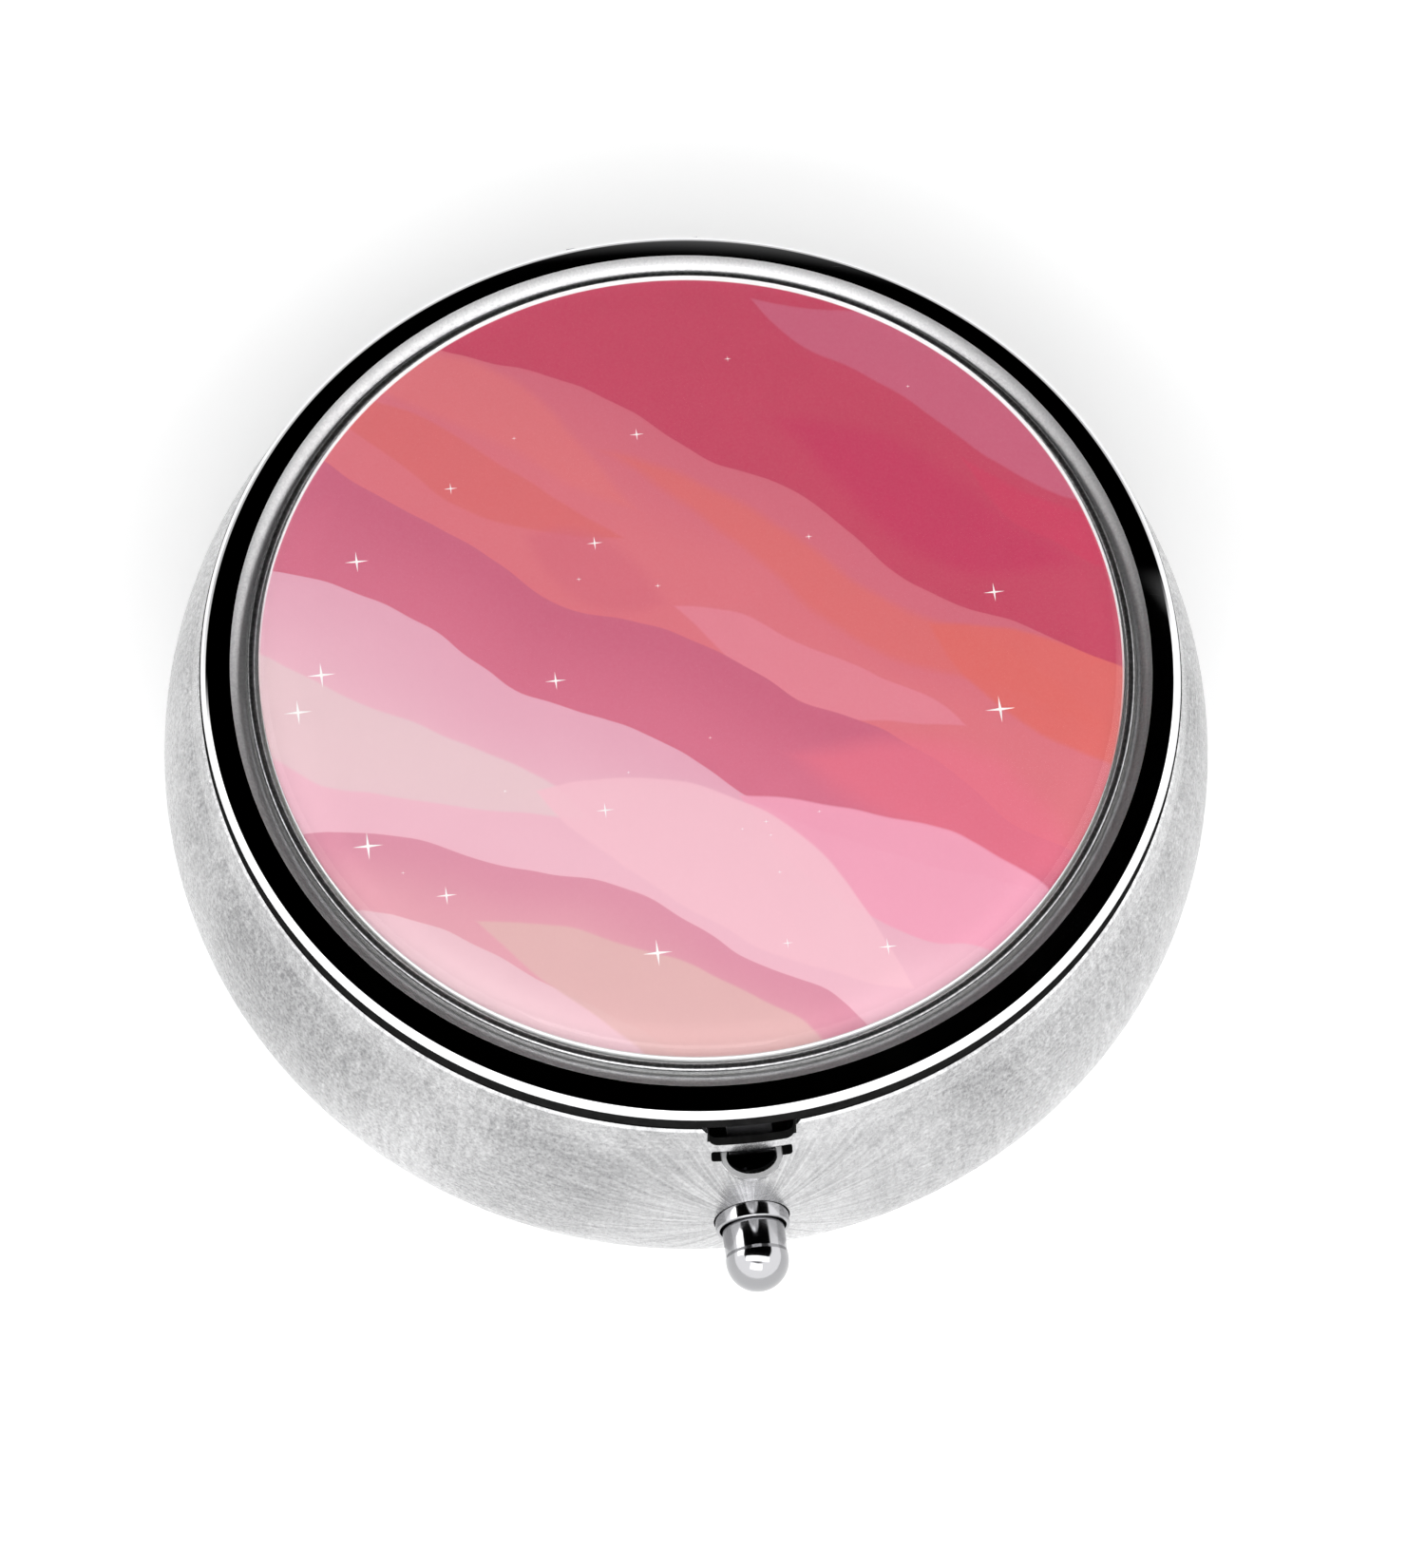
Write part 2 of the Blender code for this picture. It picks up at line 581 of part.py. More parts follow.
# ---------------------------------------------------------------- latch tongue
def make_tongue(parts, cutters, spring_steel):
    """A flat spring blade under the lid, with a catch nose that sits below the cup's bridge."""
    head = lid_underside(-TONGUE_FACE) - TONGUE_HEAD_GAP
    half = TONGUE_WIDTH / 2
    right = arc((half - TONGUE_CORNER, TONGUE_END + TONGUE_CORNER), TONGUE_CORNER, -90, 0, ARC_POINTS)
    left = [(-x, z) for x, z in reversed(right)]
    outline = [*right, (half, head), (-half, head), *left]
    middle = (TONGUE_FACE + TONGUE_BACK) / 2
    blade = plate(
        "latch_tongue",
        [outline],
        TONGUE_SHEET,
        parts,
        Matrix.Translation((0.0, middle, 0.0)) @ FRONT_VIEW,
        spring_steel,
    )
    bridge_inner = -(bulge_radius(SLOT_TOP) - WALL)
    tip = bridge_inner - NOSE_BITE
    nose_top = SLOT_TOP - NOSE_PLAY
    nose_edge = nose_top - NOSE_EDGE
    nose_root = nose_edge - NOSE_SLOPE
    wedge = [(middle, nose_top), (tip, nose_top), (tip, nose_edge)]
    wedge += [(TONGUE_FACE, nose_root), (middle, nose_root)]
    nose = plate("join_nose", [wedge], NOSE_WIDTH, cutters, SIDE_VIEW)
    combine(blade, nose, "UNION")
    return blade


def lid_underside(radius):
    """Height of the band's underside at a radius between the recess and the shoulder."""
    run = BAND_WIDTH - SHOULDER_RADIUS - CREST_RADIUS
    slope = BAND_DROP / run
    top = CREST_HEIGHT - (radius - RECESS_RADIUS - CREST_RADIUS) * slope
    return top - LID_SHEET * math.sqrt(1 + slope**2)


# ---------------------------------------------------------------- button
def make_button(parts, chrome, steel):
    """Button, ferrule and retainer, turned about the button's axis. Local +Z points out of the cup."""
    flange_face = -(bulge_radius(BUTTON_HEIGHT + FERRULE_RADIUS + FERRULE_FLANGE) - WALL - FLANGE_INSET)
    flange_end = flange_face + FLANGE_THICKNESS
    barrel_end = flange_end + BARREL_GAP
    retainer_face = barrel_end + RECESS_CLEARANCE
    retainer_end = retainer_face + RETAINER_THICKNESS
    peen_face = retainer_end + RECESS_CLEARANCE
    inner_end = TONGUE_FACE - TONGUE_END_GAP

    def place(obj):
        obj.rotation_euler.x = math.pi / 2
        obj.location = (0.0, 0.0, BUTTON_HEIGHT)
        smooth(obj)

    def along(y):
        return -y

    tip_radius = BUTTON_RADIUS + DOME_SHOULDER
    centre = along(BUTTON_TIP) - tip_radius
    button = [(0.0, along(BUTTON_TIP))]
    button += arc((0.0, centre), tip_radius, 80, 0, TIP_POINTS)
    button += [(tip_radius, centre - DOME_SKIRT), (BUTTON_RADIUS, centre - DOME_SKIRT - DOME_TAPER)]
    button += [(BUTTON_RADIUS, along(barrel_end)), (SHANK_RADIUS, along(barrel_end))]
    button += [(SHANK_RADIUS, along(peen_face)), (PEEN_RADIUS, along(peen_face))]
    button += [(PEEN_RADIUS, along(peen_face + PEEN_LENGTH / 2))]
    button += [(SHANK_RADIUS, along(peen_face + PEEN_LENGTH))]
    button += [(SHANK_RADIUS, along(inner_end - SHANK_TAPER)), (SHANK_END_RADIUS, along(inner_end))]
    button += [(0.0, along(inner_end))]
    place(turned("push_button", button, parts, chrome, steps=SMALL_STEPS))

    flange_radius = FERRULE_RADIUS + FERRULE_FLANGE
    outer_end = along(FERRULE_END)
    ferrule = [(FERRULE_BORE, outer_end - FERRULE_EDGE), (FERRULE_BORE + FERRULE_EDGE, outer_end)]
    ferrule += [(FERRULE_RADIUS - FERRULE_EDGE, outer_end), (FERRULE_RADIUS, outer_end - FERRULE_EDGE)]
    ferrule += [(FERRULE_RADIUS, along(flange_face)), (flange_radius, along(flange_face))]
    ferrule += [(flange_radius, along(flange_end)), (FERRULE_BORE, along(flange_end))]
    place(turned("button_ferrule", ferrule, parts, chrome, steps=SMALL_STEPS, closed=True))

    bore = SHANK_RADIUS + RECESS_CLEARANCE
    rim = FERRULE_BORE + RETAINER_OVERLAP
    washer = [(bore, along(retainer_face)), (rim, along(retainer_face))]
    washer += [(rim, along(retainer_end)), (bore, along(retainer_end))]
    place(turned("button_retainer", washer, parts, steel, steps=SMALL_STEPS, closed=True))


# ---------------------------------------------------------------- tray
def tray_front():
    """Y of the tray's flat front, clear of the tongue when the button is pressed home."""
    pivot = lid_underside(-TONGUE_FACE) - TONGUE_HEAD_GAP
    swing = BUTTON_TRAVEL * (pivot - TONGUE_END) / (pivot - BUTTON_HEIGHT)
    return TONGUE_BACK + swing + TRAY_TONGUE_GAP


def kept_behind(points, radius, front):
    """The part of an outline behind the tray's flat front, which it meets at a given radius."""
    reach = math.sqrt(radius**2 - front**2)
    kept = []
    for here, after in zip(points, points[1:] + points[:1]):
        if here[1] > front:
            kept.append(here)
        if (here[1] > front) != (after[1] > front):
            kept.append((math.copysign(reach, here[0]), front))
    return kept


def compartment_outline(middle, radius, front):
    """A sector between two dividers, about a direction in degrees, with its point cut by the hub."""
    half = 180.0 / COMPARTMENTS
    side = TRAY_WALL / 2
    hub = TRAY_HUB_RADIUS + TRAY_WALL / 2
    found = []
    for edge_radius, order in ((radius, 1), (hub, -1)):
        turn = half - math.degrees(math.asin(side / edge_radius))
        count = SECTOR_POINTS if order > 0 else ARC_POINTS
        ends = (middle - order * turn, middle + order * turn)
        found += arc((0.0, 0.0), edge_radius, ends[0], ends[1], count)
    return kept_behind(found, radius, front)


def make_tray(parts, cutters, plastic):
    low = WALL + TRAY_FLOOR_GAP
    high = SEAM_HEIGHT - TRAY_TOP_GAP
    radius = LIP_INNER - TRAY_CLEARANCE
    front = tray_front()
    solid = [(0.0, high), (radius, high), (radius, low + TRAY_CHAMFER)]
    solid += [(radius - TRAY_CHAMFER, low), (0.0, low)]
    tray = turned("compartment_tray", solid, parts, plastic)
    flat = box(
        "cut_tray_front",
        (-radius, -(radius + CUT_MARGIN), low - CUT_MARGIN),
        (radius, front, high + CUT_MARGIN),
        cutters,
    )
    combine(tray, flat, "DIFFERENCE")
    depth = high - low - TRAY_FLOOR + CUT_MARGIN
    middle_height = low + TRAY_FLOOR + depth / 2
    for i in range(COMPARTMENTS):
        outline = compartment_outline(-90 + i * 360 / COMPARTMENTS, radius - TRAY_WALL, front + TRAY_WALL)
        pocket = plate(
            f"cut_compartment_{i + 1}",
            [outline],
            depth,
            cutters,
            Matrix.Translation((0.0, 0.0, middle_height)),
        )
        combine(tray, pocket, "DIFFERENCE")
    smooth(tray)


def main():
    clear_scene()
    parts = make_collection("pill_case")
    cutters = make_collection("cutters")
    steel = make_material("satin_steel", (0.72, 0.72, 0.73), 0.35, 1.0)
    chrome = make_material("bright_chrome", (0.82, 0.82, 0.83), 0.06, 1.0)
    spring_steel = make_material("spring_steel", (0.55, 0.55, 0.57), 0.2, 1.0)
    pin_metal = make_material("pin_steel", (0.62, 0.62, 0.64), 0.25, 1.0)
    ring_metal = make_material("milled_ring", (0.7, 0.7, 0.71), 0.4, 1.0)
    film_paper = make_material("adhesive_film", (0.85, 0.84, 0.8), 0.7, 0.0)
    printed = make_material("printed_disc", (0.78, 0.35, 0.42), 0.4, 0.0)
    clear = make_material("clear_resin", (0.95, 0.95, 0.95), 0.03, 0.0, 0.3)
    plastic = make_material("white_plastic", (0.87, 0.87, 0.86), 0.45, 0.0)

    make_cup(parts, cutters, steel)
    make_lid(parts, chrome, film_paper, printed, clear, ring_metal)
    make_hinge(parts, cutters, steel, pin_metal)
    make_tongue(parts, cutters, spring_steel)
    make_button(parts, chrome, steel)
    make_tray(parts, cutters, plastic)


main()
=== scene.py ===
import math

import bmesh
import bpy
from mathutils import Matrix, Vector


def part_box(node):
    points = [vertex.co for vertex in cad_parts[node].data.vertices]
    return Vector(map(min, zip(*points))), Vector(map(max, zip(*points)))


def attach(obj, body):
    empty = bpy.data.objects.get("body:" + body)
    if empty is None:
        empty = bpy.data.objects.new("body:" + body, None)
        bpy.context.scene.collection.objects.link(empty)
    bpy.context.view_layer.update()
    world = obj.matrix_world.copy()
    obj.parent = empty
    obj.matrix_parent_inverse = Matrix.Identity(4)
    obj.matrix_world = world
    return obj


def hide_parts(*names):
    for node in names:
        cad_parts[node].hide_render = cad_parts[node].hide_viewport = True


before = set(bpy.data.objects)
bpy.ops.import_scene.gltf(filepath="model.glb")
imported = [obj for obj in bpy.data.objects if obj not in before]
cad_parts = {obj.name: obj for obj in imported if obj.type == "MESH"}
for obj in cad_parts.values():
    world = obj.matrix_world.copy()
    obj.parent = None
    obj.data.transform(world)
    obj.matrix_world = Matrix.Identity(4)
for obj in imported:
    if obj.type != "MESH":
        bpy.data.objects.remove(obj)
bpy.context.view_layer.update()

# Round steel pill box with a printed lid. Lengths in the dictionaries are millimetres.
mm = 0.001


def nodeBox(name):
    low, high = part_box(name)
    return Vector(low) / mm, Vector(high) / mm


cupLow, cupHigh = nodeBox("base_cup")
lidLow, lidHigh = nodeBox("lid_shell")
buttonLow, buttonHigh = nodeBox("push_button")
ferruleLow, ferruleHigh = nodeBox("button_ferrule")
discLow, discHigh = nodeBox("printed_disc")
domeLow, domeHigh = nodeBox("crystal_dome")
ringLow, ringHigh = nodeBox("retaining_ring")
tongueLow, tongueHigh = nodeBox("latch_tongue")
baseLeafLow, baseLeafHigh = nodeBox("base_hinge_leaf")
lidLeafLow, lidLeafHigh = nodeBox("lid_hinge_leaf")
pinLow, pinHigh = nodeBox("hinge_pin")
trayLow, trayHigh = nodeBox("compartment_tray")
washerLow, washerHigh = nodeBox("button_retainer")

caseRadius = (cupHigh.x - cupLow.x) / 2
lidRadius = (lidHigh.x - lidLow.x) / 2
printRadius = (discHigh.x - discLow.x) / 2
buttonZ = (buttonLow.z + buttonHigh.z) / 2
hingeY = (pinLow.y + pinHigh.y) / 2
hingeZ = (pinLow.z + pinHigh.z) / 2
towardsButton = Matrix.Translation((0, 0, buttonZ * mm)) @ Matrix.Rotation(math.pi / 2, 4, "X")


def rounded(corners, closed=False, steps=5):
    # each corner is (x, y) or (x, y, radius)
    path = []
    for i, corner in enumerate(corners):
        here = Vector(corner[:2])
        atEnd = not closed and i in (0, len(corners) - 1)
        if len(corner) < 3 or atEnd:
            path.append(tuple(here))
            continue
        back = Vector(corners[i - 1][:2]) - here
        ahead = Vector(corners[(i + 1) % len(corners)][:2]) - here
        half = back.angle(ahead) / 2
        reach = min(corner[2] / math.tan(half), 0.49 * back.length, 0.49 * ahead.length)
        radius = reach * math.tan(half)
        middle = here + (back.normalized() + ahead.normalized()).normalized() * radius / math.sin(half)
        first = here + back.normalized() * reach - middle
        last = here + ahead.normalized() * reach - middle
        start = math.atan2(first.y, first.x)
        turn = (math.atan2(last.y, last.x) - start + math.pi) % (2 * math.pi) - math.pi
        for k in range(steps + 1):
            angle = start + turn * k / steps
            path.append((middle.x + radius * math.cos(angle), middle.y + radius * math.sin(angle)))
    return path


def arcPath(centre, radius, start, end, count):
    angles = [math.radians(start + (end - start) * k / count) for k in range(count + 1)]
    return [(centre[0] + radius * math.cos(a), centre[1] + radius * math.sin(a)) for a in angles]


def sidestep(path, distance):
    # the path moved to the right of its direction, mitred at its corners
    moved = []
    for i in range(len(path)):
        here = Vector(path[i])
        before = (here - Vector(path[i - 1])).normalized() if i else None
        after = (Vector(path[i + 1]) - here).normalized() if i < len(path) - 1 else None
        sides = [Vector((d.y, -d.x)) for d in (before, after) if d]
        shift = sides[0] if len(sides) == 1 else (sides[0] + sides[1]) / (1 + sides[0].dot(sides[1]))
        moved.append(tuple(here + shift * distance))
    return moved


def newPiece(name, mesh):
    piece = bpy.data.objects.new(name, mesh)
    bpy.context.scene.collection.objects.link(piece)
    return piece


def tidyMesh(mesh, sharpAngle=35):
    shape = bmesh.new()
    shape.from_mesh(mesh)
    bmesh.ops.remove_doubles(shape, verts=shape.verts, dist=1e-7)
    bmesh.ops.recalc_face_normals(shape, faces=shape.faces)
    shape.to_mesh(mesh)
    shape.free()
    mesh.shade_smooth()
    mesh.set_sharp_from_angle(angle=math.radians(sharpAngle))


def lathe(name, path, segments=256, closed=True, sharpAngle=35):
    # path holds (radius, height); an end on the axis becomes a pole
    points, rings = [], []
    for radius, height in path:
        if abs(radius) < 1e-6:
            rings.append([len(points)] * segments)
            points.append((0, 0, height * mm))
            continue
        rings.append(list(range(len(points), len(points) + segments)))
        for k in range(segments):
            angle = 2 * math.pi * (k + 0.5) / segments
            points.append((radius * mm * math.cos(angle), radius * mm * math.sin(angle), height * mm))
    faces = []
    pairs = list(zip(rings, rings[1:])) + ([(rings[-1], rings[0])] if closed else [])
    for low, high in pairs:
        for k in range(segments):
            corners = [low[k], low[(k + 1) % segments], high[(k + 1) % segments], high[k]]
            corners = [c for n, c in enumerate(corners) if c not in corners[:n]]
            if len(corners) > 2:
                faces.append(corners)
    mesh = bpy.data.meshes.new(name)
    mesh.from_pydata(points, [], faces)
    tidyMesh(mesh, sharpAngle)
    return newPiece(name, mesh)


def slab(name, outline, low, high, axis="Z"):
    # an outline pushed along an axis: (x, y) along Z, (y, z) along X or (x, z) along Y
    seats = {
        "Z": lambda a, b, c: (a, b, c),
        "X": lambda a, b, c: (c, a, b),
        "Y": lambda a, b, c: (a, c, b),
    }
    seat = seats[axis]
    shape = bmesh.new()
    rows = []
    for level in (low, high):
        rows.append([shape.verts.new(Vector(seat(a, b, level)) * mm) for a, b in outline])
    shape.faces.new(rows[0])
    shape.faces.new(rows[1])
    for k in range(len(outline)):
        n = (k + 1) % len(outline)
        shape.faces.new([rows[0][k], rows[0][n], rows[1][n], rows[1][k]])
    bmesh.ops.recalc_face_normals(shape, faces=shape.faces)
    mesh = bpy.data.meshes.new(name)
    shape.to_mesh(mesh)
    shape.free()
    return newPiece(name, mesh)


def block(name, low, high):
    outline = [(low[0], low[1]), (high[0], low[1]), (high[0], high[1]), (low[0], high[1])]
    return slab(name, outline, low[2], high[2])


def settle(piece, sharpAngle=35):
    # modifiers become mesh, and helper objects go
    graph = bpy.context.evaluated_depsgraph_get()
    mesh = bpy.data.meshes.new_from_object(piece.evaluated_get(graph))
    helpers = [m.object for m in piece.modifiers if m.type == "BOOLEAN"]
    piece.modifiers.clear()
    old, piece.data = piece.data, mesh
    mesh.name = piece.name
    bpy.data.meshes.remove(old)
    for helper in helpers:
        bpy.data.objects.remove(helper, do_unlink=True)
    mesh.shade_smooth()
    mesh.set_sharp_from_angle(angle=math.radians(sharpAngle))
    return piece


def carve(piece, tool, operation="DIFFERENCE"):
    modifier = piece.modifiers.new(tool.name, "BOOLEAN")
    modifier.operation = operation
    modifier.object = tool
    modifier.solver = "EXACT"
    tool.hide_render = True


def soften(piece, width, segments=2, angle=40):
    bevel = piece.modifiers.new("Soften", "BEVEL")
    bevel.width = width * mm
    bevel.segments = segments
    bevel.limit_method = "ANGLE"
    bevel.angle_limit = math.radians(angle)
    bevel.harden_normals = False


def place(piece, body, slotName, finish, *nodes):
    if not piece.data.materials:
        piece.data.materials.append(finish)
    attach(piece, body)
    if nodes:
        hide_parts(*nodes)


def rgb(red, green, blue):
    # screen colour to linear
    def linear(c):
        c /= 255
        return c / 12.92 if c <= 0.04045 else ((c + 0.055) / 1.055) ** 2.4

    return (linear(red), linear(green), linear(blue), 1.0)


class Wires:
    # short names for adding and linking nodes in one tree
    def __init__(self, tree):
        self.tree = tree

    def node(self, kind, **settings):
        made = self.tree.nodes.new(kind)
        for key, value in settings.items():
            setattr(made, key, value)
        return made

    def feed(self, node, values):
        for key, value in values.items():
            if isinstance(value, bpy.types.NodeSocket):
                self.tree.links.new(value, node.inputs[key])
            else:
                node.inputs[key].default_value = value

    def build(self, kind, values, output=0, **settings):
        made = self.node(kind, **settings)
        self.feed(made, values)
        return made.outputs[output]

    def calc(self, operation, *values, clamp=False):
        return self.build("ShaderNodeMath", dict(enumerate(values)), operation=operation, use_clamp=clamp)

    def add(self, first, second, clamp=False):
        return self.calc("ADD", first, second, clamp=clamp)

    def minus(self, first, second):
        return self.calc("SUBTRACT", first, second)

    def times(self, first, second):
        return self.calc("MULTIPLY", first, second)

    def radius(self, x, y):
        return self.calc("SQRT", self.add(self.calc("POWER", x, 2.0), self.calc("POWER", y, 2.0)))

    def split(self, vector):
        made = self.node("ShaderNodeSeparateXYZ")
        self.feed(made, {0: vector})
        return made.outputs[:]

    def join(self, x=0.0, y=0.0, z=0.0):
        return self.build("ShaderNodeCombineXYZ", {0: x, 1: y, 2: z})

    def blend(self, factor, first, second):
        return self.build("ShaderNodeMix", {0: factor, 6: first, 7: second}, 2, data_type="RGBA")

    def remap(self, value, low, high, newLow, newHigh, smooth=False):
        kind = "SMOOTHSTEP" if smooth else "LINEAR"
        values = dict(enumerate((value, low, high, newLow, newHigh)))
        return self.build("ShaderNodeMapRange", values, interpolation_type=kind)

    def noise(self, vector, scale, detail=2.0, roughness=0.5):
        return self.build("ShaderNodeTexNoise", {"Vector": vector, "Scale": scale, "Detail": detail,
                                                 "Roughness": roughness})

    def stretch(self, vector, scale, rotation=(0, 0, 0)):
        return self.build("ShaderNodeMapping", {"Vector": vector, "Rotation": rotation, "Scale": scale})

    def bump(self, height, strength, distance):
        return self.build("ShaderNodeBump", {"Strength": strength, "Distance": distance, "Height": height})

    def chance(self, low, high, seed):
        return self.build("FunctionNodeRandomValue", {2: low, 3: high, "Seed": seed}, 1, data_type="FLOAT")


def addInputs(tree, inputs):
    # the kind of each socket follows from its default
    kinds = {float: "NodeSocketFloat", int: "NodeSocketInt", tuple: "NodeSocketVector"}
    for label, default in inputs.items():
        socket = tree.interface.new_socket(name=label, in_out="INPUT", socket_type=kinds[type(default)])
        socket.default_value = default


def startGroup(name, inputs, outputs):
    tree = bpy.data.node_groups.new(name, "ShaderNodeTree")
    addInputs(tree, inputs)
    for label in outputs:
        tree.interface.new_socket(name=label, in_out="OUTPUT", socket_type="NodeSocketFloat")
    wires = Wires(tree)
    return tree, wires, wires.node("NodeGroupInput").outputs, wires.node("NodeGroupOutput")


def startMaterial(name, colour, metallic, roughness):
    material = bpy.data.materials.new(name)
    material.use_nodes = True
    wires = Wires(material.node_tree)
    shader = material.node_tree.nodes["Principled BSDF"]
    wires.feed(shader, {"Base Color": colour, "Metallic": metallic, "Roughness": roughness})
    coordinates = wires.node("ShaderNodeTexCoord").outputs["Object"]
    return material, wires, shader, coordinates


def makeSatinGroup():
    # fine brushed grain: long strokes in two directions that take turns over the surface, and a fine speckle
    tree, w, given, out = startGroup("satinGrain", {
        "Position": (0, 0, 0), "Strokes": (1, 1, 1), "Cross Strokes": (1, 1, 1), "Speckle": 3000.0,
    }, ["Shade", "Height"])
    first = w.noise(w.stretch(given["Position"], given["Strokes"]), 1.0, 4.0, 0.6)
    second = w.noise(w.stretch(given["Position"], given["Cross Strokes"], (0.5, 0.0, 0.0)), 1.0, 4.0, 0.6)
    patches = w.remap(w.noise(given["Position"], 90.0, 1.0), 0.4, 0.6, 0.0, 1.0)
    strokes = w.add(w.times(first, patches), w.times(second, w.minus(1.0, patches)))
    speckle = w.noise(given["Position"], given["Speckle"], 2.0, 0.7)
    shade = w.add(w.times(strokes, 0.4), w.times(speckle, 0.6))
    w.feed(out, {"Shade": shade, "Height": shade})
    return tree


def makeHandlingGroup():
    # faint handling marks: soft smudges and a few hairlines
    tree, w, given, out = startGroup("handling", {
        "Position": (0, 0, 0), "Smudge Size": 120.0, "Amount": 0.03,
    }, ["Roughness", "Height"])
    smudge = w.remap(w.noise(given["Position"], given["Smudge Size"], 3.0, 0.6), 0.45, 0.7, 0.0, 1.0, True)
    hair = w.noise(w.stretch(given["Position"], (260, 4200, 1400), (0, 0, 0.9)), 1.0, 1.0)
    hair = w.remap(hair, 0.72, 0.76, 0.0, 1.0)
    rough = w.times(w.add(smudge, w.times(hair, 0.5)), given["Amount"])
    w.feed(out, {"Roughness": rough, "Height": hair})
    return tree


satinGrain = makeSatinGroup()
handling = makeHandlingGroup()
print("shader groups made")


def useGroup(w, tree, values):
    made = w.node("ShaderNodeGroup", node_tree=tree)
    w.feed(made, values)
    return made.outputs


def makeChrome(name, colour, roughness, smudges):
    material, w, shader, position = startMaterial(name, colour, 1.0, roughness)
    marks = useGroup(w, handling, {"Position": position, "Amount": smudges})
    w.feed(shader, {"Roughness": w.add(roughness, marks["Roughness"]),
                    "Normal": w.bump(marks["Height"], 0.02, 0.00001)})
    return material


def addPolish(w, position, shade, height, values):
    # polishing strokes that fan out round the button, a paler neck that is painted light, a darker foot that
    # is painted shade, and soft patches
    x, y, z = w.split(position)
    rise = w.minus(z, buttonZ * mm)
    angle = w.calc("ARCTAN2", rise, x)
    reach = w.radius(rise, x)
    fan = w.join(w.times(angle, values["rays"]), w.times(reach, 160.0))
    rays = w.remap(w.noise(fan, 1.0, 3.0), 0.32, 0.68, 0.0, 1.0)
    near = w.remap(reach, 0.002, 0.014, 0.55, 0.0, True)
    near = w.times(near, w.remap(y, -0.018, -0.021, 0.0, 1.0))
    shade = w.add(w.times(shade, w.minus(1.0, near)), w.times(rays, near))
    neck = values["neck"]
    # painted light: the neck above the crease is made paler
    shade = w.add(shade, w.remap(z, neck * mm, (neck + 0.1) * mm, 0.0, values["neckPaintedLight"]))
    # painted shade: darker towards the bottom of the cup
    shade = w.add(shade, w.remap(z, 0.0, values["foot"] * mm, -values["footPaintedShade"], 0.0, True))
    patches = w.noise(w.stretch(position, (150, 150, 60)), 1.0, 2.0)
    shade = w.add(shade, w.remap(patches, 0.3, 0.7, -0.24, 0.16), clamp=True)
    return shade, w.add(height, w.times(rays, near))


def makeSatin(name, values):
    rough = values["roughness"]
    material, w, shader, position = startMaterial(name, values["colour"], 1.0, rough)
    grain = useGroup(w, satinGrain, {
        "Position": position, "Strokes": values["strokes"], "Cross Strokes": values["crossStrokes"],
        "Speckle": values["speckle"]})
    shade = w.remap(grain["Shade"], 0.3, 0.7, 0.0, 1.0)
    height = grain["Height"]
    if "rays" in values:
        shade, height = addPolish(w, position, shade, height, values)
    w.feed(shader, {"Base Color": w.blend(shade, values["dark"], values["colour"]),
                    "Roughness": w.remap(grain["Shade"], 0.3, 0.7, rough + 0.07, rough - 0.05),
                    "Normal": w.bump(height, values["bump"], 0.00003)})
    return material


def makeCutSteelAndShadow():
    # bare cut edges: bright on the hood's rim and the bridge, with painted shadow (near black) past them
    material, w, shader, position = startMaterial("cutSteel", (0.9, 0.9, 0.905, 1), 1.0, 0.6)
    grain = w.noise(position, 5000.0, 2.0, 0.7)
    # painted shadow: cut faces further than about 1.4 mm from the middle turn near black
    light = w.remap(w.calc("ABSOLUTE", w.split(position)[0]), 0.00134, 0.00144, 1.0, 0.0, True)
    bright = w.blend(grain, (0.72, 0.72, 0.73, 1), (0.96, 0.96, 0.965, 1))
    w.feed(shader, {"Base Color": w.blend(light, (0.01, 0.01, 0.01, 1), bright),
                    "Normal": w.bump(grain, 0.1, 0.00002)})
    return material


def makeSeamPaintedShadow():
    # painted shadow, dull and dark: the lower half of the lid's skirt, the ledge under it and the notch's
    # edge
    material, w, shader, position = startMaterial("seamBlack", (0.01, 0.01, 0.01, 1), 0.0, 0.6)
    shadowMottle = w.noise(position, 1800.0, 3.0, 0.6)
    w.feed(shader, {"Specular IOR Level": 0.0,
                    "Base Color": w.blend(shadowMottle, (0.003, 0.003, 0.003, 1), (0.016, 0.016, 0.016, 1)),
                    "Normal": w.bump(shadowMottle, 0.1, 0.00002)})
    return material


lidChrome = makeChrome("lidChrome", (0.80, 0.80, 0.81, 1), 0.03, 0.02)
seamBlack = makeSeamPaintedShadow()
# painted shade: the button and its ferrule get a darker copy of the bright chrome
buttonChrome = makeChrome("buttonChrome", (0.34, 0.34, 0.35, 1), 0.08, 0.08)
springSteel = makeChrome("springSteel", (0.24, 0.24, 0.25, 1), 0.16, 0.1)
pinSteel = makeChrome("pinSteel", (0.58, 0.58, 0.6, 1), 0.22, 0.08)
satinSteel = makeSatin("satinSteel", {
    "colour": (0.63, 0.63, 0.635, 1),
    "dark": (0.24, 0.24, 0.245, 1),
    "roughness": 0.25,
    "rays": 26.0,
    "neck": 12.9,
    "neckPaintedLight": 0.16,
    "foot": 6.5,
    "footPaintedShade": 0.34,
    "strokes": (2600, 2600, 420),
    "crossStrokes": (900, 900, 5200),
    "speckle": 5200.0,
    "bump": 0.30,
})
# painted light: a brightened satin copy for the lid's turned bead, partly a satin finish and partly painted
# light
beadSatin = makeSatin("beadSatin", {
    "colour": (0.99, 0.99, 0.99, 1),
    "dark": (0.72, 0.72, 0.73, 1),
    "roughness": 0.34,
    "strokes": (900, 900, 900),
    "crossStrokes": (2600, 2600, 2600),
    "speckle": 7500.0,
    "bump": 0.18,
})
cutSteel = makeCutSteelAndShadow()
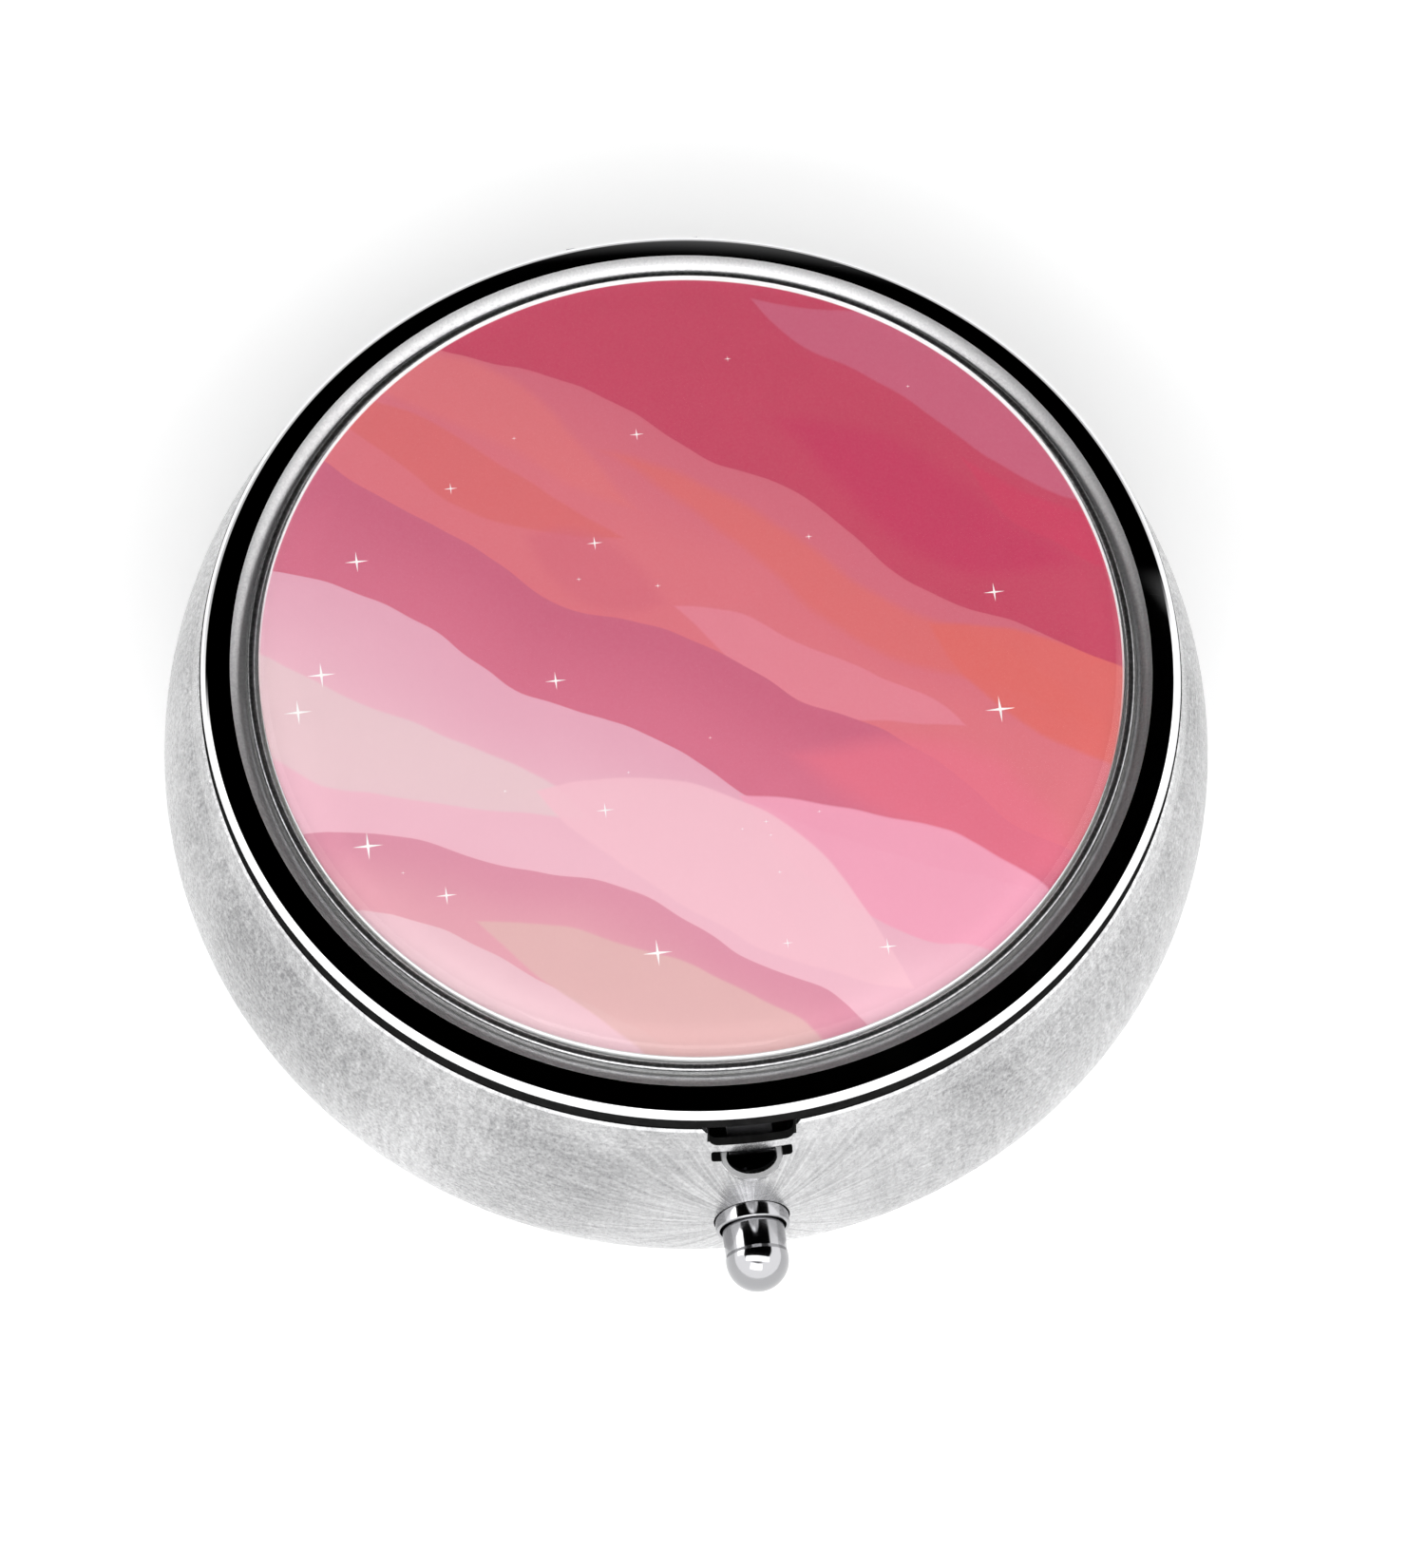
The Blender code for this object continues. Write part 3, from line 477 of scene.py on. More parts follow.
# painted shade: a darker copy of the satin steel for the inner faces, the lid's underside and the hinge
# leaves
insideSteel = makeSatin("insideSteel", {
    "colour": (0.44, 0.44, 0.45, 1),
    "dark": (0.30, 0.30, 0.31, 1),
    "roughness": 0.3,
    "strokes": (500, 2600, 500),
    "crossStrokes": (2600, 500, 500),
    "speckle": 3600.0,
    "bump": 0.2,
})


def makeTurnedRing():
    # fine concentric tool lines: noise read along the radius only
    material, w, shader, position = startMaterial("turnedRing", (0.7, 0.7, 0.71, 1), 1.0, 0.3)
    radius = w.radius(*w.split(position)[:2])
    lines = w.noise(w.join(w.times(radius, 30000.0)), 1.0, 3.0)
    speckle = w.noise(position, 6000.0, 2.0)
    mixed = w.add(w.times(lines, 0.5), w.times(speckle, 0.5))
    shade = w.remap(mixed, 0.35, 0.65, 0.0, 1.0)
    w.feed(shader, {"Base Color": w.blend(shade, (0.22, 0.22, 0.225, 1), (0.58, 0.58, 0.59, 1)),
                    "Normal": w.bump(mixed, 0.35, 0.00002)})
    return material


def makeWhitePlastic():
    material, w, shader, position = startMaterial("whitePlastic", (0.84, 0.84, 0.83, 1), 0.0, 0.42)
    skin = w.noise(position, 2600.0, 3.0, 0.6)
    flow = w.noise(w.stretch(position, (60, 60, 160)), 1.0, 2.0)
    w.feed(shader, {"Base Color": w.blend(flow, (0.80, 0.80, 0.785, 1), (0.87, 0.87, 0.862, 1)),
                    "Roughness": w.remap(skin, 0.3, 0.7, 0.36, 0.48),
                    "Normal": w.bump(skin, 0.12, 0.00003)})
    return material


def makeFilmPaper():
    material, w, shader, position = startMaterial("filmPaper", (0.82, 0.81, 0.76, 1), 0.0, 0.7)
    fibres = w.noise(w.stretch(position, (900, 3400, 900)), 1.0, 4.0, 0.7)
    w.feed(shader, {"Base Color": w.blend(fibres, (0.74, 0.72, 0.66, 1), (0.88, 0.87, 0.83, 1)),
                    "Normal": w.bump(fibres, 0.2, 0.00003)})
    return material


def makeClearDome():
    # clear resin that lets the lamps' light through to the print
    material, w, shader, position = startMaterial("clearDome", (1, 1, 1, 1), 0.0, 0.015)
    marks = useGroup(w, handling, {"Position": position, "Amount": 0.03})
    w.feed(shader, {"Transmission Weight": 1.0, "IOR": 1.28,
                    "Roughness": w.add(0.012, marks["Roughness"])})
    through = w.node("ShaderNodeBsdfTransparent")
    path = w.node("ShaderNodeLightPath")
    mixed = w.build("ShaderNodeMixShader", {0: path.outputs["Is Shadow Ray"], 1: shader.outputs[0],
                                            2: through.outputs[0]})
    w.feed(material.node_tree.nodes["Material Output"], {"Surface": mixed})
    return material


# The print: wavy sheets laid over each other from the top down, then lens-shaped strokes.
# A sheet covers everything below its edge, and a wave is (height, length, phase).
printDesign = {
    "bandTurn": 33.0,
    "ground": ((198, 66, 96), (190, 58, 88)),
    "paperEdge": 0.24,
    # edge, tilt, waves, colour at the edge, colour further in, how far in
    "sheets": [
        (9.3, -0.6, [(0.75, 34, 2.6), (0.3, 13, 0.6)], (204, 98, 118), (217, 112, 122), 6.0),
        (0.3, -0.8, [(0.5, 30, 0.4), (0.25, 12, 2.0)], (196, 92, 120), (209, 108, 134), 5.0),
        (-4.6, 0.9, [(0.9, 46, 3.6), (0.45, 17, 1.2)], (222, 160, 180), (232, 182, 196), 7.0),
        (-13.4, 2.0, [(1.1, 30, 1.3), (0.3, 11, 0.2)], (211, 136, 158), (221, 158, 170), 4.0),
        (-18.0, 1.2, [(0.7, 24, 2.2)], (226, 184, 194), (230, 196, 202), 3.0),
    ],
    # along, across, half length, half width, tilt, wave, colour, softness, cover
    "strokes": [
        (7.0, 18.2, 13.0, 2.6, -0.05, (0.7, 19, 0.4), (197, 92, 120), 0.12, 0.95),
        (6.0, 12.4, 8.5, 2.5, -0.02, (0.6, 21, 1.8), (192, 46, 88), 1.1, 0.85),
        (15.5, 13.2, 9.0, 1.2, -0.22, (0.4, 14, 0.0), (200, 54, 90), 0.2, 0.9),
        (-15.0, 7.2, 9.5, 1.8, -0.1, (0.4, 15, 1.0), (219, 112, 116), 0.5, 0.7),
        (-14.5, 3.9, 9.0, 1.5, 0.02, (0.5, 17, 2.4), (213, 101, 104), 0.15, 0.9),
        (6.0, 6.2, 15.0, 1.5, -0.1, (0.6, 20, 2.9), (215, 103, 104), 0.5, 0.9),
        (17.0, 5.8, 8.0, 2.6, -0.16, (0.5, 16, 0.5), (217, 99, 94), 0.25, 0.9),
        (5.5, 1.7, 7.5, 1.6, 0.03, (0.4, 13, 2.1), (221, 127, 143), 0.12, 0.9),
        (-6.0, 2.0, 4.0, 1.9, 0.0, (0.3, 9, 0.8), (206, 98, 116), 0.8, 0.6),
        (14.0, -1.6, 8.0, 3.0, 0.06, (0.5, 17, 3.0), (224, 108, 130), 1.4, 0.75),
        (14.5, -5.4, 9.5, 2.7, 0.0, (0.5, 18, 1.2), (233, 156, 180), 0.12, 0.95),
        (-12.0, -10.4, 11.5, 2.2, 0.02, (0.8, 20, 2.4), (226, 194, 199), 0.15, 0.95),
        (6.5, -9.2, 10.0, 3.1, -0.04, (0.6, 22, 0.3), (236, 186, 198), 0.14, 0.9),
        (8.0, -16.2, 11.0, 2.3, 0.05, (0.5, 19, 1.5), (217, 174, 172), 0.14, 0.9),
    ],
    # the strokes that lie over the ground and over some of the sheets, from and up to
    "overGround": (0, 3),
    "overSheets": {0: (3, 9), 2: (9, 13), 4: (13, 14)},
}


def wavyLine(w, along, base, tilt, waves):
    height = w.calc("MULTIPLY_ADD", along, tilt, base)
    for size, length, phase in waves:
        swing = w.calc("SINE", w.calc("MULTIPLY_ADD", along, 2 * math.pi / length, phase))
        height = w.calc("MULTIPLY_ADD", swing, size, height)
    return height


def addStrokes(w, colour, along, across, span):
    # each stroke is a long lens about its own wavy centre line
    for stroke in printDesign["strokes"][slice(*span)]:
        atAlong, atAcross, halfLength, halfWidth, tilt, wave, ink, soft, cover = stroke
        middle = wavyLine(w, along, atAcross - atAlong * tilt, tilt, [wave])
        away = w.calc("DIVIDE", w.minus(along, atAlong), halfLength)
        half = w.times(w.minus(1.0, w.times(away, away)), halfWidth)
        inside = w.minus(half, w.calc("ABSOLUTE", w.minus(across, middle)))
        colour = w.blend(w.remap(inside, -soft * 0.3, soft, 0.0, cover, True), colour, rgb(*ink))
    return colour


def makePrint():
    material, w, shader, position = startMaterial("printedCard", (0.8, 0.4, 0.45, 1), 0.0, 0.38)
    turned = w.stretch(position, (1 / mm,) * 3, (0, 0, math.radians(printDesign["bandTurn"])))
    along, across = w.split(turned)[:2]
    across = w.add(across, w.times(w.minus(w.noise(turned, 0.11, 2.0), 0.5), 2.2))
    wash = w.noise(w.stretch(turned, (0.05, 0.16, 0.1)), 1.0, 2.0)
    ground = w.blend(wash, *(rgb(*shade) for shade in printDesign["ground"]))
    colour = ground
    covers = []
    for k, (edge, tilt, waves, first, second, reach) in enumerate(printDesign["sheets"]):
        depth = w.minus(wavyLine(w, along, edge, tilt / 20, waves), across)
        fade = w.remap(depth, 0.0, reach, 0.0, 1.0, True)
        fade = w.add(w.times(fade, 0.75), w.times(wash, 0.25))
        covers.append(w.remap(depth, -0.03, 0.03, 0.0, 1.0))
        colour = w.blend(covers[k], colour, w.blend(fade, rgb(*first), rgb(*second)))
        if k in printDesign["overSheets"]:
            colour = addStrokes(w, colour, along, across, printDesign["overSheets"][k])
    top = addStrokes(w, ground, along, across, printDesign["overGround"])
    colour = w.blend(covers[0], top, colour)

    grain = w.noise(position, 9000.0, 2.0, 0.7)
    colour = w.blend(w.times(grain, 0.05), colour, (1, 1, 1, 1))
    radius = w.radius(*w.split(position)[:2])
    edge = (printRadius - printDesign["paperEdge"]) * mm
    border = w.remap(radius, edge - 0.00002, edge + 0.00002, 0.0, 1.0)
    w.feed(shader, {"Base Color": w.blend(border, colour, (0.9, 0.9, 0.9, 1)),
                    "Roughness": w.remap(grain, 0.3, 0.7, 0.34, 0.44),
                    "Normal": w.bump(grain, 0.05, 0.00001)})
    return material


def makeSparkInk():
    material, w, shader, position = startMaterial("sparkInk", (0.95, 0.93, 0.92, 1), 0.0, 0.5)
    w.feed(shader, {"Roughness": w.remap(w.noise(position, 8000.0), 0.3, 0.7, 0.45, 0.6)})
    return material


turnedRing = makeTurnedRing()
whitePlastic = makeWhitePlastic()
filmPaper = makeFilmPaper()
clearDome = makeClearDome()
printedCard = makePrint()
sparkInk = makeSparkInk()
print("finishes made")


cupShape = {
    "footSetback": 4.5,
    "bulgeHeight": 6.0,
    "creaseSetback": 1.5,
    "neckSetback": 1.85,
    "neckHeight": 1.6,
    "shoulderFullness": 1.16,
    "wall": 0.4,
    "lipHeight": 0.6,
    "lipOuter": 22.4,
    "notchHalf": 1.95,
    "notchDepth": 1.1,
    "notchCorner": 0.55,
    "bridge": 0.5,
    "slotHeight": 0.5,
    "slotWidth": 3.75,
    "hoodHalf": 1.42,
    "hoodReach": 0.95,
    "hoodDrop": 1.45,
    "hoodSheet": 0.24,
    "hingeNotchPlay": 0.2,
    "holeClearance": 0.06,
}
seamZ = cupHigh.z - cupShape["lipHeight"]
creaseZ = seamZ - cupShape["neckHeight"]
lipInner = cupShape["lipOuter"] - cupShape["wall"]


def wallRadius(height):
    if height > creaseZ:
        share = (height - creaseZ) / cupShape["neckHeight"]
        return caseRadius - cupShape["creaseSetback"] * (1 - share) - cupShape["neckSetback"] * share
    if height >= cupShape["bulgeHeight"]:
        fullness = cupShape["shoulderFullness"]
        half = fullness * (creaseZ - cupShape["bulgeHeight"])
        depth = cupShape["creaseSetback"] / (1 - math.sqrt(1 - 1 / fullness**2))
        rise = (height - cupShape["bulgeHeight"]) / half
        return caseRadius - depth * (1 - math.sqrt(1 - rise**2))
    share = 1 - height / cupShape["bulgeHeight"]
    return caseRadius - cupShape["footSetback"] * (1 - math.sqrt(max(0.0, 1 - share**2)))


def cupWall():
    points = [(wallRadius(seamZ), seamZ), (wallRadius(seamZ - 0.8), seamZ - 0.8)]
    for k in range(19):
        height = creaseZ + (cupShape["bulgeHeight"] - creaseZ) * k / 18
        points.append((wallRadius(height), height))
    for k in range(1, 15):
        turn = math.pi / 2 * k / 14
        points.append((caseRadius - cupShape["footSetback"] * (1 - math.cos(turn)),
                       cupShape["bulgeHeight"] * (1 - math.sin(turn))))
    return points


def hood(name, shrink, top):
    # half an ellipsoid pushed out of the wall below the slot
    shape = bmesh.new()
    bmesh.ops.create_uvsphere(shape, u_segments=64, v_segments=40, radius=1.0)
    centreY = -(wallRadius(slotBase) - cupShape["wall"] / 2)
    depth = cupShape["hoodReach"] + cupShape["wall"] / 2 - shrink
    radii = Vector((cupShape["hoodHalf"] - shrink, depth, cupShape["hoodDrop"] - shrink))
    bmesh.ops.scale(shape, vec=radii * mm, verts=shape.verts)
    bmesh.ops.translate(shape, vec=Vector((0, centreY, slotBase)) * mm, verts=shape.verts)
    everything = shape.verts[:] + shape.edges[:] + shape.faces[:]
    bmesh.ops.bisect_plane(shape, geom=everything, plane_co=(0, 0, top * mm), plane_no=(0, 0, 1),
                           clear_outer=True)
    bmesh.ops.holes_fill(shape, edges=[e for e in shape.edges if e.is_boundary], sides=0)
    bmesh.ops.recalc_face_normals(shape, faces=shape.faces)
    mesh = bpy.data.meshes.new(name)
    shape.to_mesh(mesh)
    shape.free()
    return newPiece(name, mesh)


notchFloor = seamZ - cupShape["notchDepth"]
slotTop = notchFloor - cupShape["bridge"]
slotBase = slotTop - cupShape["slotHeight"]


def cupFinish(centre, normal):
    # 0 outer wall, 1 inside in a darker steel as painted shade, 2 the bridge's and the hood's cut edges with
    # painted shadow past them,
    # 3 painted shadow on the ledge and lip under the lid's edge, and on the notch's own edges
    radius = math.hypot(centre.x, centre.y)
    facesIn = normal.x * centre.x + normal.y * centre.y < -0.1 * radius
    floorTop = normal.z > 0.7 and centre.z < 2
    atLatch = abs(centre.x) < 2.1 and centre.y < 0 and slotBase - 0.2 < centre.z < seamZ - 0.02
    # painted shadow: the notch's own faces go black
    if atLatch and centre.z > notchFloor - 0.05:
        return 3
    # cut edges of the bridge and the hood, with painted shadow on those past the hood's width
    if atLatch and (normal.z > 0.6 or abs(normal.x) > 0.8) and radius > lipInner:
        return 2
    # painted shadow on the ledge and lip under the lid's edge
    if centre.z > seamZ - 0.05 and radius > lipInner + 0.05:
        return 3
    # inner faces take the darker steel as painted shade
    return 1 if (facesIn or floorTop) and radius < wallRadius(centre.z) - 0.2 else 0


def makeCup():
    wall = cupWall()
    lipTop = cupHigh.z
    outside = [(0, lipTop), (cupShape["lipOuter"] - 0.12, lipTop), (cupShape["lipOuter"], lipTop - 0.12)]
    outside += [(cupShape["lipOuter"], seamZ), (wall[0][0] - 0.12, seamZ), (wall[0][0], seamZ - 0.12)]
    outside += [*wall[1:], (0, 0)]
    cup = lathe("cup", outside, segments=320, closed=False)
    carve(cup, hood("hoodOutside", 0.0, slotBase + 0.02), "UNION")
    inner = sidestep(wall[2:], cupShape["wall"])
    ledge = seamZ - cupShape["wall"]
    hollow = [(0, lipTop + 1), (lipInner, lipTop + 1), (lipInner, ledge), (inner[0][0] - 0.3, ledge)]
    hollow += [*inner[:-1], (inner[-1][0], cupShape["wall"]), (0, cupShape["wall"])]
    carve(cup, lathe("hollow", hollow, segments=320, closed=False))
    carve(cup, hood("hoodInside", cupShape["hoodSheet"], slotBase + cupShape["slotHeight"] / 2))
    halfSlot = cupShape["slotWidth"] / 2
    slot = rounded([(-halfSlot, slotBase, 0.12), (halfSlot, slotBase, 0.12), (halfSlot, slotTop, 0.12),
                    (-halfSlot, slotTop, 0.12)], closed=True)
    carve(cup, slab("slot", slot, -(caseRadius + 1), -(lipInner - 1), "Y"))
    half, corner = cupShape["notchHalf"], cupShape["notchCorner"]
    notch = rounded([(-half, notchFloor, corner), (half, notchFloor, corner), (half, seamZ - 0.25, 0.2),
                     (half + 0.35, seamZ + 0.02), (half, seamZ + 0.02), (half, lipTop + 1),
                     (-half, lipTop + 1), (-half, seamZ + 0.02), (-half - 0.35, seamZ + 0.02),
                     (-half, seamZ - 0.25, 0.2)], closed=True)
    carve(cup, slab("notch", notch, -(caseRadius + 1), -(lipInner - 1), "Y"))
    holeRadius = (ferruleHigh.x - ferruleLow.x) / 2 - ferruleShape["flange"] + cupShape["holeClearance"]
    hole = lathe("hole", [(0, 28), (holeRadius, 28), (holeRadius, 20), (0, 20)], segments=96, closed=False)
    hole.data.transform(towardsButton)
    carve(cup, hole)
    half = (baseLeafHigh.x - baseLeafLow.x) / 2 + cupShape["hingeNotchPlay"]
    floor = hingeZ - hingeShape["barrel"] - cupShape["hingeNotchPlay"]
    back = rounded([(-half, floor, 0.3), (half, floor, 0.3), (half, lipTop + 1), (-half, lipTop + 1)],
                   closed=True)
    carve(cup, slab("hingeNotch", back, lipInner - 1, caseRadius + 1, "Y"))
    settle(cup, 17)
    for finish in (satinSteel, insideSteel, cutSteel, seamBlack):
        cup.data.materials.append(finish)
    for face in cup.data.polygons:
        face.material_index = cupFinish(face.center / mm, face.normal)
    place(cup, "base", "satin_steel", satinSteel, "base_cup")


ferruleShape = {"wall": 0.17, "flange": 0.4, "flangeThickness": 0.3, "lipRound": 0.06}
buttonShape = {"domeStep": 0.03, "shank": 0.85, "peen": 1.1, "peenLength": 0.3}


def makeButton():
    tipOut = -buttonLow.y
    innerEnd = -buttonHigh.y
    tipRadius = (buttonHigh.x - buttonLow.x) / 2
    barrel = tipRadius - buttonShape["domeStep"]
    barrelEnd = -washerLow.y + 0.05
    peenFace = -washerHigh.y - 0.05
    shank, peen = buttonShape["shank"], buttonShape["peen"]
    centre = tipOut - tipRadius
    path = [(0, tipOut)] + arcPath((0, centre), tipRadius, 88, 0, 24)
    path += rounded([(tipRadius, centre), (tipRadius, centre - 0.1, 0.1), (barrel, centre - 0.26, 0.12),
                     (barrel, barrelEnd, 0.08), (shank, barrelEnd, 0.05), (shank, peenFace),
                     (peen, peenFace, 0.05), (peen, peenFace - buttonShape["peenLength"] / 2, 0.08),
                     (shank, peenFace - buttonShape["peenLength"]), (shank * 0.8, innerEnd + 0.1, 0.1),
                     (0, innerEnd)])[1:]
    button = lathe("pushButton", path, segments=128, closed=False)
    button.data.transform(towardsButton)
    place(button, "button", "bright_chrome", buttonChrome, "push_button")


def makeFerrule():
    outerEnd = -ferruleLow.y
    innerEnd = -ferruleHigh.y
    flange = (ferruleHigh.x - ferruleLow.x) / 2
    tube = flange - ferruleShape["flange"]
    bore = tube - ferruleShape["wall"]
    face = innerEnd + ferruleShape["flangeThickness"]
    lip = ferruleShape["lipRound"]
    path = rounded([(bore, outerEnd, lip), (tube, outerEnd, lip), (tube, face, 0.05), (flange, face, 0.08),
                    (flange, innerEnd, 0.08), (bore, innerEnd, 0.06)], closed=True)
    ferrule = lathe("buttonFerrule", path, segments=128)
    ferrule.data.transform(towardsButton)
    place(ferrule, "base", "bright_chrome", buttonChrome, "button_ferrule")
    outer = (washerHigh.x - washerLow.x) / 2
    inner = buttonShape["shank"] + 0.05
    path = rounded([(inner, -washerLow.y, 0.05), (outer, -washerLow.y, 0.1), (outer, -washerHigh.y, 0.1),
                    (inner, -washerHigh.y, 0.05)], closed=True)
    washer = lathe("buttonRetainer", path, segments=96)
    washer.data.transform(towardsButton)
    place(washer, "button", "spring_steel", springSteel, "button_retainer")


lidShape = {
    "sheet": 0.35,
    "shoulder": 0.7,
    "bandDrop": 0.4,
    "bandWidth": 2.2,
    "skirtShadowHeight": 0.75,
    "beadWidth": 0.72,
    "crestDrop": 0.08,
    "beadDrop": 0.38,
    "beadGap": 0.02,
    "bandStart": 0.08,
    "crestInset": 0.15,
    "underStep": 0.15,
}
recessRadius = lidRadius - lidShape["bandWidth"]
recessFloor = discLow.z - 0.25
shoulderZ = lidHigh.z - lidShape["bandDrop"] - lidShape["shoulder"]


def bandUnderside(radius):
    run = lidShape["bandWidth"] - lidShape["shoulder"] - lidShape["crestInset"]
    slope = lidShape["bandDrop"] / run
    inward = radius - recessRadius - lidShape["crestInset"]
    return lidHigh.z - inward * slope - lidShape["sheet"] * math.hypot(1, slope)


def makeLid():
    beadTop = lidHigh.z - lidShape["crestDrop"]
    beadFoot = beadTop - lidShape["beadDrop"]
    halfway = (recessRadius * 0.5, recessFloor)
    top = [(0, recessFloor), halfway]
    top += rounded([halfway, (recessRadius, recessFloor, 0.08),
                    (recessRadius, beadFoot - 0.06)])[1:]
    for k in range(13):
        share = 1 - k / 12
        fall = lidShape["beadDrop"] * (0.8 * share + 0.2 * share**2)
        top.append((recessRadius + lidShape["beadGap"] + lidShape["beadWidth"] * (1 - share), beadTop - fall))
    # the band is the line from the bead's crest that just touches the shoulder's arc
    toArc = Vector((lidRadius - lidShape["shoulder"], shoulderZ)) - Vector(top[-1])
    slope = -math.atan2(toArc.y, toArc.x) - math.asin(lidShape["shoulder"] / toArc.length)
    degrees = math.degrees(slope)
    start = lidShape["bandStart"]
    top.append((top[-1][0] + start, beadTop - start * math.tan(slope)))
    top += arcPath((lidRadius - lidShape["shoulder"], shoulderZ), lidShape["shoulder"], 90 - degrees, 0, 24)
    top += [(lidRadius, lidLow.z + 0.06), (lidRadius - 0.06, lidLow.z)]
    sheet = lidShape["sheet"]
    inner = lidRadius - sheet
    under = [(inner + 0.05, lidLow.z), (inner, lidLow.z + 0.05)]
    under += arcPath((lidRadius - lidShape["shoulder"], shoulderZ), lidShape["shoulder"] - sheet, 0,
                     90 - degrees, 8)
    channel = recessRadius + sheet
    under += rounded([under[-1], (channel, bandUnderside(channel), 0.15), (channel, recessFloor - sheet, 0.3),
                      (recessRadius * 0.9, recessFloor - sheet)])[1:]
    step = lidShape["underStep"]
    base = recessFloor - sheet
    under += rounded([(recessRadius * 0.86, base), (recessRadius * 0.85, base, 0.1),
                      (recessRadius * 0.84, base + step, 0.1), (recessRadius * 0.8, base + step)])
    under += [(0, base + step)]
    lid = lathe("lidShell", [*top, *under], segments=384, closed=False, sharpAngle=42)
    for finish in (lidChrome, insideSteel, beadSatin, seamBlack):
        lid.data.materials.append(finish)
    for face in lid.data.polygons:
        radius = math.hypot(face.center.x, face.center.y) / mm
        # painted shade on the lid's down-facing underside
        if face.normal.z < -0.3 and face.center.z / mm > lidLow.z + 0.1:
            face.material_index = 1
        # painted light on the bead's upward faces
        elif face.normal.z > 0 and radius < recessRadius + lidShape["beadWidth"]:
            face.material_index = 2
        # painted shadow on the lower part of the skirt
        elif face.center.z / mm < lidLow.z + lidShape["skirtShadowHeight"] and radius > lidRadius - 0.3:
            face.material_index = 3
    place(lid, "lid", "bright_chrome", lidChrome, "lid_shell")


stackShape = {"filmTop": 0.05, "filmFoot": 0.2, "domeEdge": 0.25, "domeBorder": 0.9}


def makePrintStack():
    filmTop, filmFoot = discLow.z - stackShape["filmTop"], discLow.z - stackShape["filmFoot"]
    film = lathe("adhesiveFilm", rounded([(0, filmTop), (printRadius, filmTop, 0.03),
                                          (printRadius, filmFoot, 0.03), (0, filmFoot)]),
                 segments=192, closed=False)
    place(film, "lid", "adhesive_film", filmPaper, "adhesive_film")
    disc = lathe("printedDisc", rounded([(0, discHigh.z), (printRadius, discHigh.z, 0.05),
                                         (printRadius, discLow.z, 0.05), (0, discLow.z)]),
                 segments=320, closed=False)
    place(disc, "lid", "printed_disc", printedCard, "printed_disc")
    edge, border = stackShape["domeEdge"], stackShape["domeBorder"]
    crown = domeHigh.z - domeLow.z - edge
    path = [(0, domeHigh.z)]
    for k in range(17):
        turn = math.pi / 2 * k / 16
        path.append((printRadius - border * (1 - math.sin(turn)), domeLow.z + edge + crown * math.cos(turn)))
    path += [(printRadius, domeLow.z + 0.05), (printRadius - 0.05, domeLow.z), (0, domeLow.z)]
    dome = lathe("crystalDome", path, segments=320, closed=False)
    place(dome, "lid", "clear_dome", clearDome, "crystal_dome")


def startTree(name, inputs):
    tree = bpy.data.node_groups.new(name, "GeometryNodeTree")
    addInputs(tree, inputs)
    tree.interface.new_socket(name="Geometry", in_out="OUTPUT", socket_type="NodeSocketGeometry")
    wires = Wires(tree)
    return tree, wires, wires.node("NodeGroupInput").outputs, wires.node("NodeGroupOutput")


def finishTree(wires, geometry, finish, out):
    real = wires.build("GeometryNodeRealizeInstances", {0: geometry})
    coated = wires.build("GeometryNodeSetMaterial", {"Geometry": real, "Material": finish})
    wires.feed(out, {0: coated})


def runTree(name, tree, values):
    # inputs are set by their identifiers before the first evaluation, and the result becomes a plain mesh
    holder = newPiece(name, bpy.data.meshes.new(name + "Seed"))
    modifier = holder.modifiers.new(tree.name, "NODES")
    modifier.node_group = tree
    for item in tree.interface.items_tree:
        if item.in_out == "INPUT" and item.name in values:
            modifier[item.identifier] = values[item.name]
    graph = bpy.context.evaluated_depsgraph_get()
    mesh = bpy.data.meshes.new_from_object(holder.evaluated_get(graph))
    holder.modifiers.clear()
    old, holder.data = holder.data, mesh
    bpy.data.meshes.remove(old)
    mesh.name = name
    return holder


def makeRingTree():
    # a rounded bar swept round a circle
    tree, w, given, out = startTree("turnedBar", {
        "Radius": 0.02, "Width": 0.0004, "Height": 0.0004, "Rounding": 0.0001, "Level": 0.0, "Segments": 320})
    circle = w.build("GeometryNodeCurvePrimitiveCircle", {
        "Resolution": given["Segments"], "Radius": given["Radius"]}, mode="RADIUS")
    bar = w.build("GeometryNodeCurvePrimitiveQuadrilateral", {
        "Width": given["Width"], "Height": given["Height"]}, mode="RECTANGLE")
    fillet = w.build("GeometryNodeFilletCurve", {"Curve": bar, "Count": 4, "Radius": given["Rounding"]},
                     mode="POLY")
    sweep = w.build("GeometryNodeCurveToMesh", {"Curve": circle, "Profile Curve": fillet})
    moved = w.build("GeometryNodeTransform", {"Geometry": sweep, "Translation": w.join(z=given["Level"])})
    finishTree(w, moved, turnedRing, out)
    return tree


